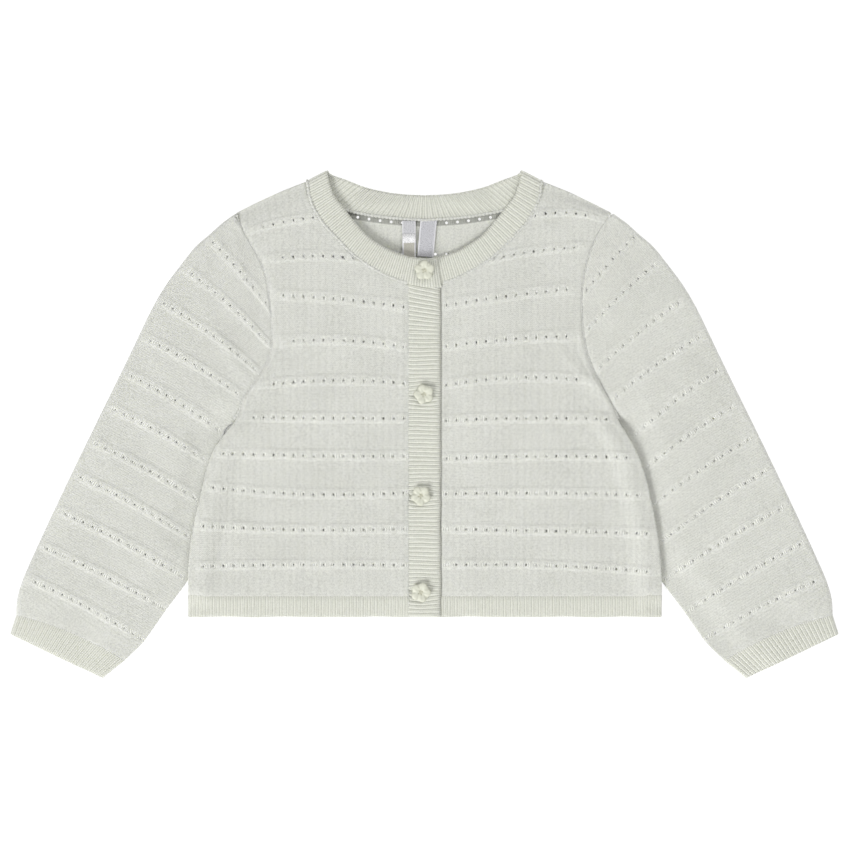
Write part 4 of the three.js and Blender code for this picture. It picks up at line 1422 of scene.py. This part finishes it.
def polyester_resin():
    """Cast polyester resin of a moulded button: smooth, semi-gloss, with a faint cloudiness."""
    material, tree = new_material("button_polyester_resin")
    cloud = noise_texture(tree, object_place(tree), 260)
    colour = mix_colours(tree, cloud, "#c8c9b9", "#d9dacb")
    add_shader(tree, {"Roughness": 0.45, "IOR": 1.53}, {"Base Color": colour})
    return material


def sewing_thread():
    """Spun polyester sewing thread: matt, with the twist of its plies."""
    material, tree = new_material("button_sewing_thread")
    settings = {"Scale": 1400, "Distortion": 0.5}
    twist = add_node(tree, "ShaderNodeTexWave", settings, {"Vector": object_place(tree)}).outputs[0]
    colour = mix_colours(tree, twist, "#bdbaa6", "#dedbc8")
    add_shader(tree, {"Roughness": 0.8}, {"Base Color": colour})
    return material


def woven_tape(name, shade, light, roughness, selvedge=None):
    """Polyester label tape: a fine weave of about 0.25 mm, drawn at 0.5 mm so that it shows. Its
    selvedges are lighter beyond a distance from the middle."""
    material, tree = new_material(name)
    uv = cloth_uv(tree)
    threads = count_repeats(tree, uv, TAPE_WEAVE, TAPE_WEAVE)
    weave = add_node(tree, "ShaderNodeTexChecker", {"Scale": 1}, {"Vector": threads}).outputs["Fac"]
    uneven = map_range(tree, noise_texture(tree, threads, 0.8), 0.35, 0.65)
    slubs = calculate(tree, "MULTIPLY_ADD", weave, 0.3, uneven)
    colour = mix_colours(tree, slubs, shade, light)
    if selvedge:
        away = calculate(tree, "ABSOLUTE", split(tree, uv)["X"])
        beyond = calculate(tree, "GREATER_THAN", away, selvedge * MM)
        colour = mix_colours(tree, beyond, colour, "#dcdcdf")
    normal = bump_normal(tree, weave, 0.3, 0.1)
    add_shader(tree, {"Roughness": roughness}, {"Base Color": colour, "Normal": normal})
    return material


def light_table():
    """White acrylic light table under the garment, matt and evenly lit from below."""
    material, tree = new_material("studio_light_table")
    add_shader(
        tree,
        {
            "Base Color": linear_colour("#7c7c7c"),
            "Roughness": 0.9,
            "Emission Color": linear_colour("#ffffff"),
            "Emission Strength": 0.88,
        },
    )
    return material


# The studio

def add_floor():
    mesh = bmesh.new()
    bmesh.ops.create_grid(mesh, x_segments=1, y_segments=1, size=2)
    data = bpy.data.meshes.new("floor")
    mesh.to_mesh(data)
    mesh.free()
    data.materials.append(light_table())
    floor = bpy.data.objects.new("floor", data)
    floor.location.z = -0.3 * MM
    bpy.context.scene.collection.objects.link(floor)


def add_light(name, place, size, power):
    light = bpy.data.lights.new(name, "AREA")
    light.shape = "SQUARE"
    light.size = size
    light.energy = power
    lamp = bpy.data.objects.new(name, light)
    lamp.location = place
    lamp.rotation_euler = (-Vector(place)).to_track_quat("-Z", "Y").to_euler()
    bpy.context.scene.collection.objects.link(lamp)


def add_studio():
    add_floor()
    add_light("key softbox", (-2.4, -3.2, 2.8), 1.8, 190)
    add_light("fill softbox", (2.8, 3, 3.8), 2.8, 100)
    world = bpy.data.worlds.new("studio")
    bpy.context.scene.world = world
    world.use_nodes = True
    backdrop = world.node_tree.nodes["Background"]
    backdrop.inputs["Color"].default_value = (1, 1, 1, 1)
    backdrop.inputs["Strength"].default_value = 0.5
    bpy.context.scene.view_settings.view_transform = "Standard"


def add_camera():
    """Straight down with the neck at the top of the picture, which is 493 mm wide at the cloth."""
    lens, sensor, picture_width, cloth_height = 100, 36, 493, 5
    data = bpy.data.cameras.new("camera")
    data.lens = lens
    data.sensor_width = sensor
    camera = bpy.data.objects.new("camera", data)
    distance = picture_width * lens / sensor
    camera.location = (0.3 * MM, -0.6 * MM, (distance + cloth_height) * MM)
    bpy.context.scene.collection.objects.link(camera)
    bpy.context.scene.camera = camera


def add_garment():
    jersey = cotton_knit("jersey_combed_cotton", "#a2a39c", "#f5f6ef", 0.55, lace=True)
    # The back's jersey is the jersey with a painted shade strip along the lace course inside the back
    # neck
    back_jersey = cotton_knit(
        "back_jersey_combed_cotton_painted_shade", "#a2a39c", "#f5f6ef", 0.55, lace=True, painted_shade=True
    )
    rib = cotton_knit("rib_combed_cotton", "#b6b7ad", "#e1e2d9", 0.3)

    # Each cloth with its node, slot, flat size and, where it isn't the whole of that, its area. Rib
    # is cut at the width to which it opens out flat, about 1.3 times its width at rest.
    cloths = [
        (back_piece(back_jersey), "back_panel", "jersey", (0.275, 0.24), 0.057),
        (back_hem_piece(rib), "back_hem_rib", "rib", (0.357, 0.0125), None),
        (neckband_piece(rib), "neckband", "rib", (0.447, 0.015), None),
    ]
    for side in SIDES:
        cloths += [
            (front_piece(side, jersey), f"{side}_front", "jersey", (0.128, 0.24), 0.0255),
            (front_hem_piece(side, rib), f"{side}_front_hem_rib", "rib", (0.166, 0.0125), None),
            (sleeve_piece(side, jersey), f"{side}_sleeve", "jersey", (0.19, 0.25), 0.0335),
            (cuff_piece(side, rib), f"{side}_cuff", "rib", (0.164, 0.0125), None),
        ]
    button_band = band_piece("button_band_knit", BUTTON_BAND_EDGES, BUTTON_BAND_UNDER, rib, False)
    buttonhole_band = band_piece(
        "buttonhole_band_knit", BUTTONHOLE_EDGES, BUTTONHOLE_BAND_UNDER, rib, True
    )
    cloths += [
        (button_band, "button_band", "rib", (0.0167, 0.249), None),
        (buttonhole_band, "buttonhole_band", "rib", (0.0185, 0.249), None),
    ]
    for piece, node, finish, flat, area in cloths:
        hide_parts(node)
    neck_seams(jersey)
    for side in SIDES:
        armhole_seam(side, jersey)

    resin, thread = polyester_resin(), sewing_thread()
    for number, place in enumerate(BUTTONS, 1):
        button_piece(number, place, resin, thread)

    neck_tape = woven_tape("neck_label_polyester_tape", "#9d9da1", "#c8c8cc", 0.6, 4)
    size_tape = woven_tape("size_label_polyester_tape", "#9fa0a2", "#cdcdd0", 0.6, 3.3)
    satin = woven_tape("label_polyester_satin", "#b9b9bb", "#f2f2f2", 0.25)
    care_tape = woven_tape("label_nylon_tape", "#9f9d93", "#bab8ae", 0.5, 3.1)
    for name, label, material, node in (
        ("neck_label_tape", NECK_LABEL, neck_tape, "neck_label"),
        ("size_label_tape", SIZE_LABEL, size_tape, "size_label"),
        ("size_label_care_tape", CARE_TAPE, care_tape, None),
        ("size_label_satin_fold", SATIN_FOLD, satin, None),
    ):
        piece = label_piece(name, label, material)
        if node:
            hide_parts(node)


add_studio()
add_camera()
add_garment()
